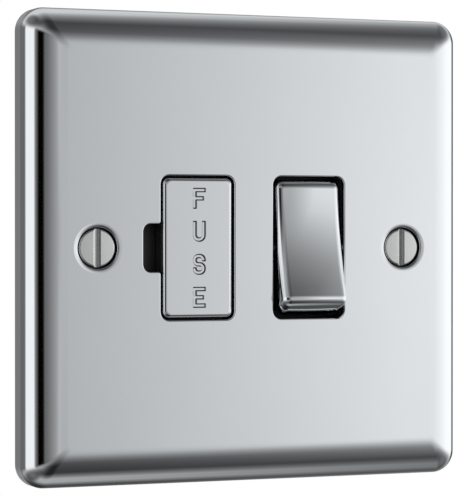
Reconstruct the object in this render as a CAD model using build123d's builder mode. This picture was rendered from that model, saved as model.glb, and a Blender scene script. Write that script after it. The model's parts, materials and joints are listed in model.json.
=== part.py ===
"""Single-gang switched fused spur unit: pressed metal plate, fuse carrier, rocker and double-pole switch.

Millimetres. +X is right seen from the front, the front looks to -Y, +Z is up. The origin is the centre of
the wall plane, which is the plane of the plate's rear rim. The switch is modelled in its OFF position.
"""

import os
from math import cos, radians, sin, sqrt

from build123d import *

# Front plate
plate_size = 86.0
plate_depth = 8.6
sheet = 1.0
plate_corner_radius = 4.8
plate_edge_roll = 4.5
fixing_centres = 60.3

# Apertures in the plate: fuse carrier on the left, rocker on the right
aperture_width = 14.3
aperture_height = 26.25
aperture_corner_radius = 1.6
aperture_spacing = 22.0
notch_width = 3.35
notch_height = 8.65
notch_corner_radius = 1.4

# Fixing screws and their dished seats
screw_thread_diameter = 3.5
screw_head_diameter = 7.4
screw_head_height = 1.9
screw_head_chamfer = 0.6
screw_slot_width = 1.15
screw_slot_depth = 1.0
screw_head_sink = 0.45
screw_reach = 16.0
screw_neck_diameter = 3.0
screw_neck_run = 0.6
screw_hole_clearance = 0.45
dish_gap = 0.3
dish_lip_radius = 0.9

# Weld studs and nuts that hold the mechanism to the plate
stud_diameter = 3.0
stud_length = 6.0
stud_span_x = 36.0
stud_span_z = 62.0
stud_clearance = 0.15
nut_across_flats = 5.5
nut_height = 2.4
nut_clearance = 0.02
nut_pocket_clearance = 0.3

# Moulded body and rear cover
flange_thickness = 2.5
flange_margin = 4.0
flange_corner_radius = 4.0
body_corner_radius = 1.5
side_wall = 3.3
end_wall = 2.4
partition_wall = 3.9
cover_thickness = 2.0
cover_panel_thickness = 1.5
cover_panel_margin = 4.0
cover_rib_height = 3.0
cover_rib_thickness = 1.2
cover_edge_fillet = 0.6
cover_screw_diameter = 2.2
cover_screw_head_diameter = 4.2
cover_screw_head_height = 1.4
cover_screw_length = 8.0
cover_screw_height = 10.0
cover_screw_slot = 0.6
cover_screw_clearance = 0.05

# Rocker
rocker_gap = 0.65
rocker_end_gap = 0.27
rocker_end_taper = 1.4
rocker_end_roll = 1.6
rocker_side_roll = 1.5
rocker_dish_radius = 75.0
rocker_stand = 2.4
rocker_wall = 1.4
rocker_skirt = 0.5
rocker_throw = 21.0
pivot_depth = 3.7
trunnion_diameter = 3.0
trunnion_length = 1.5
trunnion_clearance = 0.05
trunnion_lobe = 2.6
tail_depth = 6.0
tail_width = 5.2
chamber_gap = 0.5
chamber_end_gap = 0.4
stop_clearance = 0.1
stop_thickness = 2.0
stop_reach = 2.0

# Double-pole switch contacts
pole_spacing = 6.4
plunger_diameter = 3.0
plunger_reach = 9.5
plunger_bore_clearance = 0.1
plunger_grip = 2.4
plunger_bore_floor = 0.8
spring_wire = 0.3
spring_turns = 4
spring_gap = 0.1
seesaw_throw = 16.0
bar_thickness = 0.8
bar_width = 5.2
bar_waist = 3.2
bar_waist_length = 2.4
bar_upper_reach = 11.3
bar_lower_reach = 12.6
bar_balance = 1.35
cradle_rise = 1.17
contact_gap = 0.05
tip_diameter = 3.2
tip_thickness = 0.9
tip_height = 9.7
bracket_thickness = 0.8
bracket_ear_length = 1.6
bracket_nose = 0.4
strip_width = 3.8
strip_thickness = 0.8
slot_clearance = 0.1

# Terminals
terminal_width = 7.5
terminal_depth = 8.5
terminal_length = 8.0
terminal_clearance = 0.1
terminal_setback = 1.5
terminal_chamfer = 0.4
wire_hole_diameter = 4.2
wire_hole_depth = 6.5
wire_hole_wall = 1.2
wire_entry_clearance = 0.5
terminal_screw_diameter = 2.8
terminal_screw_head_diameter = 4.6
terminal_screw_head_height = 2.2
terminal_screw_slot = 0.8
terminal_screw_access = 0.4
terminal_pitch = 9.5
earth_terminal_shift = 3.0

# Earth bar
earth_bar_width = 3.6
earth_jog_width = 2.6
earth_bar_setback = 0.5
earth_bar_shift = -1.2
earth_tab_thickness = 0.8

# Fuse carrier with its plated cap, and the cartridge fuse
cap_gap = 0.35
cap_proud = 0.15
cap_depth = 2.75
cap_wall = 0.8
cap_edge_roll = 1.1
carrier_step = 0.2
carrier_clearance = 0.2
carrier_fit = 0.05
carrier_front_depth = 4.75
carrier_travel = 14.0
rail_width = 1.5
rail_thickness = 1.0
rail_end = 0.5
barb_height = 0.7
barb_length = 1.0
barb_clearance = 0.1
jaw_half_length = 4.5
jaw_wall = 1.9
jaw_wrap = 2.2
prise_depth = 3.0
fuse_length = 25.4
fuse_diameter = 6.35
fuse_barrel_diameter = 6.1
fuse_cap_length = 6.3
fuse_cap_wall = 0.35
fuse_depth = 8.6
fuse_fit = 0.05
fuse_end_room = 0.7
clip_thickness = 0.7
clip_clearance = 0.06
clip_width = 3.6
clip_inset = 1.1
clip_mouth = 1.2
clip_flare = 0.6
clip_base_gap = 1.0

# Depths along Y, worked out from the plate and its sheet
front_y = -plate_depth
inner_y = front_y + sheet
flange_rear_y = inner_y + flange_thickness
pivot_y = front_y + pivot_depth
fuse_y = front_y + fuse_depth
screw_face_y = front_y + screw_head_sink
screw_seat_y = screw_face_y + screw_head_height
screw_neck_y = screw_seat_y + sheet + screw_neck_run

# Centres along X and the plan sizes that follow from the apertures
fuse_x = -aperture_spacing / 2
rocker_x = aperture_spacing / 2
pole_xs = {"live": rocker_x - pole_spacing / 2, "neutral": rocker_x + pole_spacing / 2}
rocker_width = aperture_width - 2 * rocker_gap
chamber_width = rocker_width + 2 * chamber_gap
chamber_half_height = aperture_height / 2 + chamber_end_gap
cap_width = aperture_width - 2 * cap_gap
cap_height = aperture_height - 2 * cap_gap
carrier_width = cap_width - 2 * carrier_step
carrier_height = cap_height - 2 * carrier_step
well_width = carrier_width + 2 * carrier_clearance
well_mouth_height = max(carrier_height, fuse_length) + 2 * carrier_clearance
well_height = max(carrier_height + 2 * (barb_height + carrier_clearance), fuse_length + 2 * fuse_end_room)
rest_half_throw = rocker_throw / 2
seesaw_half_throw = seesaw_throw / 2

# Terminal rows: the inner faces of the blocks lie beyond the longer of the two chambers
terminal_inner_z = max(chamber_half_height, well_height / 2) + partition_wall
terminal_z = terminal_inner_z + terminal_length / 2
body_half_width = aperture_spacing / 2 + max(chamber_width, well_width) / 2 + side_wall
body_half_height = terminal_inner_z + terminal_length + terminal_clearance + end_wall
flange_half_width = -fuse_x + aperture_width / 2 + notch_width + flange_margin / 2
flange_half_height = stud_span_z / 2 + flange_margin
partition_x = (fuse_x + well_width / 2 + rocker_x - chamber_width / 2) / 2 + earth_bar_shift
terminals = {
    "load_live_terminal": (fuse_x, 1),
    "load_earth_terminal": (partition_x + earth_terminal_shift, 1),
    "load_neutral_terminal": (pole_xs["neutral"] + terminal_width / 2 - strip_width / 2, 1),
    "supply_earth_terminal": (fuse_x + earth_terminal_shift, -1),
    "supply_live_terminal": (pole_xs["neutral"] + terminal_width / 2 - strip_width / 2 - terminal_pitch, -1),
    "supply_neutral_terminal": (pole_xs["neutral"] + terminal_width / 2 - strip_width / 2, -1),
}

# See-saw geometry: the plunger's domed tip runs in a round cradle that follows its path over the throw, and
# the bar rocks about a line through its own centre of mass, a little in front of its rear face
plunger_radius = plunger_diameter / 2
tip_centre_reach = plunger_reach - plunger_radius
bar_rear_y = pivot_y + plunger_reach + contact_gap + bar_thickness
seesaw_y = bar_rear_y - bar_balance
tip_back = seesaw_y - pivot_y - tip_centre_reach * cos(radians(rest_half_throw))
tip_side = tip_centre_reach * sin(radians(rest_half_throw))
path_rise = tip_back * cos(radians(seesaw_half_throw)) + tip_side * sin(radians(seesaw_half_throw))
path_side = tip_side * cos(radians(seesaw_half_throw)) - tip_back * sin(radians(seesaw_half_throw))
path_sag = path_rise - (seesaw_y - pivot_y - tip_centre_reach)
path_radius = (path_sag**2 + path_side**2) / (2 * path_sag)
cradle_radius = path_radius + plunger_radius + contact_gap
cradle_y = bar_balance - bar_thickness - cradle_radius
cradle_half_length = sqrt(cradle_radius**2 - (cradle_radius - cradle_rise) ** 2)
arm_rear = bar_balance - cradle_rise
closed_tip_y = (
    seesaw_y
    + (arm_rear + tip_thickness) * cos(radians(seesaw_half_throw))
    + (tip_height + tip_diameter / 2) * sin(radians(seesaw_half_throw))
)
fixed_tip_y = closed_tip_y + contact_gap
strip_y = fixed_tip_y + tip_thickness
bracket_y = strip_y + strip_thickness + slot_clearance

# Fuse carrier: the rails run to just short of the cover, and their barbs stop it behind the flange
cap_front_y = front_y - cap_proud
cap_rear_y = cap_front_y + cap_depth
seat_y = cap_rear_y + stop_clearance
carrier_rear_y = cap_front_y + carrier_front_depth
barb_front_y = flange_rear_y + barb_clearance + carrier_travel
rail_end_y = barb_front_y + barb_length
rail_inner_z = carrier_height / 2 - rail_thickness
clip_gap = fuse_diameter / 2 + clip_clearance
clip_base_y = fuse_y + fuse_diameter / 2 + clip_base_gap
clip_z = fuse_length / 2 - clip_inset - clip_width / 2

# Body depth: the rails and the brackets both end inside it
body_reach = max(rail_end_y + rail_end, bracket_y + bracket_thickness + rail_end)
cover_rear_y = body_reach + cover_thickness
terminal_rear_y = body_reach - terminal_setback
terminal_front_y = terminal_rear_y - terminal_depth
wire_y = terminal_front_y + wire_hole_wall + wire_hole_diameter / 2
earth_y = terminal_front_y + earth_bar_setback

pieces = {}


def front_plane(y):
    """Return the plane at depth y that looks to the front, with X to the right and Z up."""
    return Plane.XZ.offset(-y)


def tilted_side(x, y, angle):
    """Return a side plane at (x, y, 0), turned by angle about X: its own X runs to the rear, its Y up."""
    return Plane(origin=(x, y, 0), x_dir=(0, cos(radians(angle)), sin(radians(angle))), z_dir=(1, 0, 0))


rocker_side = tilted_side(rocker_x, pivot_y, -rest_half_throw)


# Front plate: a rounded block, shelled from the rear, with pressed cups, apertures and weld studs
with BuildPart() as cavity:
    with BuildSketch(Plane.XZ):
        RectangleRounded(plate_size - 2 * sheet, plate_size - 2 * sheet, plate_corner_radius - sheet)
    extrude(amount=plate_depth - sheet)
    fillet(cavity.faces().sort_by(Axis.Y)[0].edges(), plate_edge_roll - sheet)
with BuildPart() as front_plate:
    with BuildSketch(Plane.XZ):
        RectangleRounded(plate_size, plate_size, plate_corner_radius)
    extrude(amount=plate_depth)
    fillet(front_plate.faces().sort_by(Axis.Y)[0].edges(), plate_edge_roll)
    add(cavity.part, mode=Mode.SUBTRACT)
    with BuildSketch(front_plane(screw_seat_y + sheet)):
        with GridLocations(fixing_centres, 0, 2, 1):
            Circle(screw_head_diameter / 2 + dish_gap + sheet)
    extrude(amount=screw_seat_y + sheet - inner_y)
    with BuildSketch(front_plane(screw_seat_y)):
        with GridLocations(fixing_centres, 0, 2, 1):
            Circle(screw_head_diameter / 2 + dish_gap)
    extrude(amount=screw_seat_y - front_y, mode=Mode.SUBTRACT)
    lip_edges = front_plate.edges().filter_by(GeomType.CIRCLE).filter_by(
        lambda edge: abs(edge.radius - screw_head_diameter / 2 - dish_gap) < sheet / 10
    )
    fillet(lip_edges.group_by(Axis.Y)[0], dish_lip_radius)
    with BuildSketch(front_plane(screw_seat_y + sheet)):
        with GridLocations(fixing_centres, 0, 2, 1):
            Circle(screw_thread_diameter / 2 + screw_hole_clearance)
    extrude(amount=2 * sheet, mode=Mode.SUBTRACT)
    with BuildSketch(front_plane(inner_y)):
        with GridLocations(aperture_spacing, 0, 2, 1):
            RectangleRounded(aperture_width, aperture_height, aperture_corner_radius)
        with Locations((fuse_x - aperture_width / 2, 0)):
            RectangleRounded(2 * notch_width, notch_height, notch_corner_radius)
    extrude(amount=sheet, mode=Mode.SUBTRACT)
    with BuildSketch(front_plane(inner_y)):
        with GridLocations(stud_span_x, stud_span_z, 2, 2):
            Circle(stud_diameter / 2)
    extrude(amount=-stud_length)
pieces["front_plate"] = front_plate.part

# Fixing screws: chamfered cheese heads with a slot, and a plain neck where they pass the plate
with BuildPart() as fixing_screws:
    with BuildSketch(front_plane(screw_seat_y)):
        with GridLocations(fixing_centres, 0, 2, 1):
            Circle(screw_head_diameter / 2)
    extrude(amount=screw_head_height)
    chamfer(fixing_screws.edges().group_by(Axis.Y)[0], screw_head_chamfer)
    with BuildSketch(front_plane(screw_neck_y)):
        with GridLocations(fixing_centres, 0, 2, 1):
            Circle(screw_neck_diameter / 2)
    extrude(amount=screw_neck_y - screw_seat_y)
    with BuildSketch(front_plane(screw_reach)):
        with GridLocations(fixing_centres, 0, 2, 1):
            Circle(screw_thread_diameter / 2)
    extrude(amount=screw_reach - screw_neck_y)
    with BuildSketch(front_plane(screw_face_y)):
        with GridLocations(fixing_centres, 0, 2, 1):
            Rectangle(screw_slot_width, screw_head_diameter)
    extrude(amount=-screw_slot_depth, mode=Mode.SUBTRACT)
pieces["fixing_screws"] = fixing_screws.part

# Hexagon nuts on the weld studs
with BuildPart() as stud_nuts:
    with BuildSketch(front_plane(flange_rear_y)):
        with GridLocations(stud_span_x, stud_span_z, 2, 2):
            RegularPolygon(nut_across_flats / 2, 6, major_radius=False)
            Circle(stud_diameter / 2 + nut_clearance, mode=Mode.SUBTRACT)
    extrude(amount=-nut_height)
pieces["stud_nuts"] = stud_nuts.part

# Mechanism body: flange and box moulded as one, with the chambers sunk from the rear
strip_slot = strip_width + 2 * slot_clearance
terminal_slot = terminal_width + 2 * terminal_clearance
bearing_radius = trunnion_diameter / 2 + trunnion_clearance
bearing_depth = trunnion_length - chamber_gap + slot_clearance
stop_front_y = (
    pivot_y
    - rocker_skirt * cos(radians(rest_half_throw))
    + (aperture_height / 2 - rocker_end_gap) * sin(radians(rest_half_throw))
    + stop_clearance
)
link_z = tip_height + tip_diameter / 2 + slot_clearance
link_low_z = strip_width / 2 + carrier_clearance - rail_inner_z
with BuildPart() as mechanism_body:
    with BuildSketch(front_plane(flange_rear_y)):
        RectangleRounded(2 * flange_half_width, 2 * flange_half_height, flange_corner_radius)
    extrude(amount=flange_thickness)
    with BuildSketch(front_plane(body_reach)):
        RectangleRounded(2 * body_half_width, 2 * body_half_height, body_corner_radius)
    extrude(amount=body_reach - flange_rear_y)
    # Fuse well: a seat for the cap, a lip behind it and a taller chamber for the rail barbs
    with BuildSketch(front_plane(seat_y)):
        with Locations((fuse_x, 0)):
            RectangleRounded(aperture_width, aperture_height, aperture_corner_radius)
    extrude(amount=seat_y - inner_y, mode=Mode.SUBTRACT)
    with BuildSketch(front_plane(flange_rear_y)):
        with Locations((fuse_x, 0)):
            Rectangle(well_width, well_mouth_height)
    extrude(amount=flange_thickness, mode=Mode.SUBTRACT)
    with BuildSketch(front_plane(body_reach)):
        with Locations((fuse_x, 0)):
            Rectangle(well_width, well_height)
    extrude(amount=body_reach - flange_rear_y, mode=Mode.SUBTRACT)
    # Ramp for the screwdriver blade behind the plate's notch
    with BuildSketch(Plane.XY.offset(-notch_height / 2)):
        with BuildLine():
            ramp_left = fuse_x - aperture_width / 2 - notch_width
            ramp_right = fuse_x - well_width / 2
            Polyline(
                (ramp_left, inner_y),
                (ramp_right, inner_y),
                (ramp_right, inner_y + prise_depth),
                close=True,
            )
        make_face()
    extrude(amount=notch_height, mode=Mode.SUBTRACT)
    # Switch chamber with end stops for the rocker
    with BuildSketch(front_plane(flange_rear_y)):
        with Locations((rocker_x, 0)):
            RectangleRounded(aperture_width, aperture_height, aperture_corner_radius)
    extrude(amount=flange_thickness, mode=Mode.SUBTRACT)
    with BuildSketch(front_plane(body_reach)):
        with Locations((rocker_x, 0)):
            Rectangle(chamber_width, 2 * chamber_half_height)
    extrude(amount=body_reach - flange_rear_y, mode=Mode.SUBTRACT)
    with BuildSketch(front_plane(stop_front_y + stop_thickness)):
        with Locations((rocker_x, chamber_half_height), (rocker_x, -chamber_half_height)):
            Rectangle(chamber_width, 2 * stop_reach)
    extrude(amount=stop_thickness)
    # Bearing slots for the trunnions, open to the rear
    with BuildSketch(Plane.YZ.offset(rocker_x - chamber_width / 2 - bearing_depth)):
        with BuildLine():
            Line((body_reach, -bearing_radius), (pivot_y, -bearing_radius))
            ThreePointArc(
                (pivot_y, -bearing_radius), (pivot_y - bearing_radius, 0), (pivot_y, bearing_radius)
            )
            Polyline((pivot_y, bearing_radius), (body_reach, bearing_radius), (body_reach, -bearing_radius))
        make_face()
    extrude(amount=chamber_width + 2 * bearing_depth, mode=Mode.SUBTRACT)
    # Terminal pockets, and the wire entries through the end walls, all open to the rear
    wire_entry_width = wire_hole_diameter + 2 * wire_entry_clearance
    for terminal_x, row in terminals.values():
        with BuildSketch(front_plane(body_reach)):
            with Locations((terminal_x, row * terminal_z)):
                Rectangle(terminal_slot, terminal_length + 2 * terminal_clearance)
        extrude(amount=body_reach - terminal_front_y, mode=Mode.SUBTRACT)
        with BuildSketch(front_plane(body_reach)):
            with Locations((terminal_x, row * body_half_height)):
                Rectangle(wire_entry_width, 2 * end_wall)
        extrude(amount=body_reach - wire_y + wire_entry_width / 2, mode=Mode.SUBTRACT)
    # Slots for the conductors, each sunk to the strip that lies in it
    with BuildSketch(front_plane(body_reach)):
        with Locations((fuse_x, terminal_inner_z / 2)):
            Rectangle(strip_slot, terminal_inner_z)
    extrude(amount=body_reach - clip_base_y, mode=Mode.SUBTRACT)
    with BuildSketch(front_plane(body_reach)):
        with Locations((pole_xs["neutral"], terminal_inner_z / 2)):
            Rectangle(strip_slot, terminal_inner_z)
        with BuildLine():
            Polyline(
                (pole_xs["live"], link_z),
                (partition_x, link_z),
                (partition_x, link_low_z),
                (fuse_x, link_low_z),
            )
        trace(line_width=strip_slot)
    extrude(amount=body_reach - strip_y, mode=Mode.SUBTRACT)
    with BuildSketch(front_plane(body_reach)):
        with Locations(*[(x, -terminal_inner_z / 2) for x in pole_xs.values()]):
            Rectangle(strip_slot, terminal_inner_z)
    extrude(amount=body_reach - bracket_y, mode=Mode.SUBTRACT)
    earth_jog_left = terminals["supply_earth_terminal"][0] - earth_bar_width / 2
    earth_jog_right = partition_x + earth_bar_width / 2
    earth_jog_x = (earth_jog_left + earth_jog_right) / 2
    earth_jog_length = earth_jog_right - earth_jog_left
    earth_jog_z = earth_jog_width / 2 - terminal_inner_z
    with BuildSketch(front_plane(body_reach)):
        with Locations((partition_x, 0)):
            Rectangle(earth_bar_width + 2 * slot_clearance, 2 * terminal_inner_z)
        with Locations((earth_jog_x, earth_jog_z)):
            Rectangle(earth_jog_length + 2 * slot_clearance, earth_jog_width + 2 * slot_clearance)
    extrude(amount=body_reach - earth_y, mode=Mode.SUBTRACT)
    earth_tab_z = terminal_inner_z - partition_wall / 2
    with BuildSketch(front_plane(earth_y)):
        with Locations((partition_x, earth_tab_z)):
            Rectangle(earth_bar_width + 2 * slot_clearance, earth_tab_thickness + 2 * slot_clearance)
    extrude(amount=earth_y - inner_y, mode=Mode.SUBTRACT)
    # Stud holes with room behind them for the nuts, and cover screw holes
    with BuildSketch(front_plane(flange_rear_y)):
        with GridLocations(stud_span_x, stud_span_z, 2, 2):
            Circle(stud_diameter / 2 + stud_clearance)
    extrude(amount=flange_thickness, mode=Mode.SUBTRACT)
    with BuildSketch(front_plane(body_reach)):
        with GridLocations(stud_span_x, stud_span_z, 2, 2):
            RegularPolygon(nut_across_flats / 2 + nut_pocket_clearance, 6, major_radius=False)
    extrude(amount=body_reach - flange_rear_y, mode=Mode.SUBTRACT)
    cover_screw_x = body_half_width - side_wall / 2
    with BuildSketch(front_plane(body_reach)):
        with GridLocations(2 * cover_screw_x, 2 * cover_screw_height, 2, 2):
            Circle(cover_screw_diameter / 2 + cover_screw_clearance)
    extrude(amount=cover_screw_length, mode=Mode.SUBTRACT)
pieces["mechanism_body"] = mechanism_body.part

# Rear cover: plate with a raised panel, barrier ribs between the terminals and tongues behind the trunnions
with BuildPart() as rear_cover:
    with BuildSketch(front_plane(cover_rear_y)):
        RectangleRounded(2 * body_half_width, 2 * body_half_height, body_corner_radius)
    extrude(amount=cover_thickness)
    with BuildSketch(front_plane(cover_rear_y)):
        RectangleRounded(
            2 * (cover_screw_x - cover_panel_margin), 2 * chamber_half_height, body_corner_radius
        )
    extrude(amount=-cover_panel_thickness)
    fillet(rear_cover.faces().sort_by(Axis.Y)[-1].edges(), cover_edge_fillet)
    for row in (1, -1):
        row_xs = sorted(x for x, side in terminals.values() if side == row)
        rib_xs = [(left + right) / 2 for left, right in zip(row_xs, row_xs[1:])]
        with BuildSketch(front_plane(cover_rear_y)):
            with Locations(*[(x, row * (terminal_z + end_wall / 2)) for x in rib_xs]):
                Rectangle(cover_rib_thickness, terminal_length)
        extrude(amount=-cover_rib_height)
    with BuildSketch(front_plane(cover_rear_y)):
        with Locations(*[(x, row * terminal_z) for x, row in terminals.values()]):
            Circle(terminal_screw_head_diameter / 2 + terminal_screw_access)
        with GridLocations(2 * cover_screw_x, 2 * cover_screw_height, 2, 2):
            Circle(cover_screw_diameter / 2 + cover_screw_clearance)
    extrude(amount=cover_thickness, mode=Mode.SUBTRACT)
    tongue_front_y = pivot_y + bearing_radius
    for tongue_side in (-1, 1):
        tongue_x = rocker_x + tongue_side * (chamber_width / 2 + bearing_depth / 2)
        with BuildSketch(front_plane(body_reach)):
            with Locations((tongue_x, 0)):
                Rectangle(bearing_depth - slot_clearance, 2 * bearing_radius - 2 * slot_clearance)
        extrude(amount=body_reach - tongue_front_y)
pieces["rear_cover"] = rear_cover.part

# Cover screws, driven in from the rear
with BuildPart() as cover_screws:
    with BuildSketch(front_plane(cover_rear_y)):
        with GridLocations(2 * cover_screw_x, 2 * cover_screw_height, 2, 2):
            Circle(cover_screw_head_diameter / 2)
    extrude(amount=-cover_screw_head_height)
    with BuildSketch(front_plane(cover_rear_y)):
        with GridLocations(2 * cover_screw_x, 2 * cover_screw_height, 2, 2):
            Circle(cover_screw_diameter / 2)
    extrude(amount=cover_screw_length)
    with BuildSketch(front_plane(cover_rear_y + cover_screw_head_height)):
        with GridLocations(2 * cover_screw_x, 2 * cover_screw_height, 2, 2):
            Rectangle(cover_screw_head_diameter, cover_screw_slot)
    extrude(amount=cover_screw_head_height / 2, mode=Mode.SUBTRACT)
pieces["cover_screws"] = cover_screws.part

# Rocker: a dished wedge, hollow from the rear, with cheeks, trunnions and a tail bored for the plungers
rocker_front = pivot_depth + rocker_stand
rocker_half_base = aperture_height / 2 - rocker_end_gap
rocker_half_face = rocker_half_base - rocker_end_taper
rocker_dish_sag = rocker_dish_radius - sqrt(rocker_dish_radius**2 - rocker_half_face**2)
rocker_axis = Axis((rocker_x, pivot_y, 0), tuple(rocker_side.x_dir))
plunger_bore_radius = plunger_radius + plunger_bore_clearance
with BuildPart() as rocker:
    with BuildSketch(rocker_side.offset(-rocker_width / 2)) as rocker_profile:
        with BuildLine():
            Line((-rocker_skirt, rocker_half_base), (-rocker_skirt, -rocker_half_base))
            Line((-rocker_skirt, -rocker_half_base), (-rocker_front, -rocker_half_face))
            ThreePointArc(
                (-rocker_front, -rocker_half_face),
                (-rocker_front + rocker_dish_sag, 0),
                (-rocker_front, rocker_half_face),
            )
            Line((-rocker_front, rocker_half_face), (-rocker_skirt, rocker_half_base))
        make_face()
        fillet(rocker_profile.vertices().sort_by(Axis.X)[:2], rocker_end_roll)
    extrude(amount=rocker_width)
    skirt_edges = rocker.faces().sort_by(rocker_axis)[-1].edges()
    fillet(rocker.faces().filter_by(Axis.X).edges() - skirt_edges, rocker_side_roll)
    # Hollow behind the face
    with BuildSketch(rocker_side.offset(rocker_wall - rocker_width / 2)):
        with BuildLine():
            inner_front = rocker_front - rocker_dish_sag - rocker_wall
            Polyline(
                (-rocker_skirt, rocker_half_face),
                (-rocker_skirt, -rocker_half_face),
                (-inner_front, rocker_wall - rocker_half_face),
                (-inner_front, rocker_half_face - rocker_wall),
                close=True,
            )
        make_face()
    extrude(amount=rocker_width - 2 * rocker_wall, mode=Mode.SUBTRACT)
    # Cheeks round the trunnions, and the tail
    with BuildSketch(rocker_side.offset(-rocker_width / 2)):
        Circle(trunnion_lobe)
        with Locations((-rocker_skirt, 0)):
            Rectangle(2 * rocker_skirt, 2 * trunnion_lobe)
    extrude(amount=rocker_wall)
    with BuildSketch(rocker_side.offset(rocker_width / 2 - rocker_wall)):
        Circle(trunnion_lobe)
        with Locations((-rocker_skirt, 0)):
            Rectangle(2 * rocker_skirt, 2 * trunnion_lobe)
    extrude(amount=rocker_wall)
    with BuildSketch(rocker_side.offset(-rocker_width / 2 - trunnion_length)):
        Circle(trunnion_diameter / 2)
    extrude(amount=trunnion_length)
    with BuildSketch(rocker_side.offset(rocker_width / 2)):
        Circle(trunnion_diameter / 2)
    extrude(amount=trunnion_length)
    with BuildSketch(rocker_side.offset(rocker_wall - rocker_width / 2)):
        with Locations(((tail_depth - inner_front) / 2, 0)):
            Rectangle(tail_depth + inner_front, tail_width)
    extrude(amount=rocker_width - 2 * rocker_wall)
    tail_end = rocker_side.from_local_coords((tail_depth, 0, 0))
    with BuildSketch(Plane(origin=tail_end, x_dir=(1, 0, 0), z_dir=rocker_side.x_dir)):
        with GridLocations(pole_spacing, 0, 2, 1):
            Circle(plunger_bore_radius)
    extrude(amount=plunger_bore_floor - tail_depth, mode=Mode.SUBTRACT)
pieces["rocker"] = rocker.part

# Spring plungers with domed tips, and the coil springs behind them
with BuildPart() as plungers:
    for pole_offset in (-pole_spacing / 2, pole_spacing / 2):
        with BuildSketch(rocker_side.offset(pole_offset)):
            with BuildLine():
                plunger_heel = tail_depth - plunger_grip
                Polyline(
                    (plunger_reach, 0),
                    (plunger_heel, 0),
                    (plunger_heel, plunger_radius),
                    (tip_centre_reach, plunger_radius),
                )
                RadiusArc((tip_centre_reach, plunger_radius), (plunger_reach, 0), plunger_radius)
            make_face()
        revolve(axis=Axis(rocker_side.offset(pole_offset).origin, rocker_side.x_dir))
pieces["plungers"] = plungers.part

spring_radius = plunger_bore_radius - spring_wire / 2 - spring_gap
spring_length = plunger_heel - plunger_bore_floor - spring_wire
with BuildPart() as plunger_springs:
    for pole_offset in (-pole_spacing / 2, pole_spacing / 2):
        coil_start = rocker_side.from_local_coords((plunger_bore_floor + spring_wire / 2, 0, pole_offset))
        coil_pitch = spring_length / spring_turns
        with BuildLine() as coil:
            Helix(coil_pitch, spring_length, spring_radius, center=coil_start, direction=rocker_side.x_dir)
        with BuildSketch(Plane(origin=coil.line @ 0, z_dir=coil.line % 0)):
            RegularPolygon(spring_wire / 2, 6)
        sweep(path=coil.line)
pieces["plunger_springs"] = plunger_springs.part


def moving_contact(x):
    """Build a see-saw bar: a round cradle, a waist for the bracket's ears, and a longer arm to balance the tip."""
    seesaw_side = tilted_side(x, seesaw_y, seesaw_half_throw)
    with BuildPart() as bar:
        with BuildSketch(seesaw_side.offset(-bar_width / 2)):
            with Locations((cradle_y, 0)):
                Circle(cradle_radius + bar_thickness)
                Circle(cradle_radius, mode=Mode.SUBTRACT)
            with Locations((bar_balance, 0)):
                Rectangle(
                    2 * (cradle_rise + bar_thickness), 4 * cradle_radius, mode=Mode.INTERSECT
                )
            for arm_reach, arm_side in ((bar_upper_reach, 1), (bar_lower_reach, -1)):
                arm_length = arm_reach - cradle_half_length
                with Locations((arm_rear - bar_thickness / 2, arm_side * (arm_reach - arm_length / 2))):
                    Rectangle(bar_thickness, arm_length)
        extrude(amount=bar_width)
        with BuildSketch(seesaw_side.offset(bar_waist / 2)):
            Rectangle(4 * cradle_radius, bar_waist_length)
        extrude(amount=bar_width, mode=Mode.SUBTRACT)
        with BuildSketch(seesaw_side.offset(-bar_waist / 2)):
            Rectangle(4 * cradle_radius, bar_waist_length)
        extrude(amount=-bar_width, mode=Mode.SUBTRACT)
    return bar.part


def moving_tip(x):
    """Build the silver tip on the upper arm of a see-saw bar."""
    seesaw_side = tilted_side(x, seesaw_y, seesaw_half_throw)
    with BuildPart() as tip:
        with BuildSketch(
            Plane(origin=seesaw_side.from_local_coords((arm_rear, tip_height, 0)), z_dir=seesaw_side.x_dir)
        ):
            Circle(tip_diameter / 2)
        extrude(amount=tip_thickness)
    return tip.part


def bracket(x):
    """Build the bracket that carries a see-saw: a nose, two ears and the strip to the supply terminal."""
    with BuildPart() as support:
        with BuildSketch(front_plane(bracket_y + bracket_thickness)):
            with Locations((x, (bar_waist_length / 2 - terminal_inner_z) / 2)):
                Rectangle(strip_width, terminal_inner_z + bar_waist_length / 2)
            with Locations((x, 0)):
                Rectangle(bar_width, bracket_ear_length)
        extrude(amount=bracket_thickness)
        ear_x = bar_waist / 2 + slot_clearance
        ear_thickness = (bar_width - 2 * ear_x) / 2
        with BuildSketch(front_plane(bracket_y)):
            with Locations((x + ear_x + ear_thickness / 2, 0), (x - ear_x - ear_thickness / 2, 0)):
                Rectangle(ear_thickness, bracket_ear_length)
        extrude(amount=bracket_y - bar_rear_y + cradle_rise + bar_thickness)
        nose_y = bar_rear_y + contact_gap + bracket_nose
        with BuildSketch(Plane.YZ.offset(x - bar_waist / 2)):
            with Locations(((nose_y + bracket_y) / 2, 0)):
                Rectangle(bracket_y - nose_y, 2 * bracket_nose)
            with Locations((nose_y, 0)):
                Circle(bracket_nose)
        extrude(amount=bar_waist)
    return support.part


for pole, pole_x in pole_xs.items():
    pieces[f"moving_contact_{pole}"] = moving_contact(pole_x)
    pieces[f"moving_tip_{pole}"] = moving_tip(pole_x)
    pieces[f"{pole}_bracket"] = bracket(pole_x)

# Fixed contacts: flat strips behind the see-saws' upper tips
with BuildPart() as neutral_fixed_contact:
    contact_foot = tip_height - tip_diameter / 2 - slot_clearance
    with BuildSketch(front_plane(strip_y + strip_thickness)):
        with Locations((pole_xs["neutral"], (contact_foot + terminal_inner_z) / 2)):
            Rectangle(strip_width, terminal_inner_z - contact_foot)
    extrude(amount=strip_thickness)
pieces["neutral_fixed_contact"] = neutral_fixed_contact.part

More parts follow.
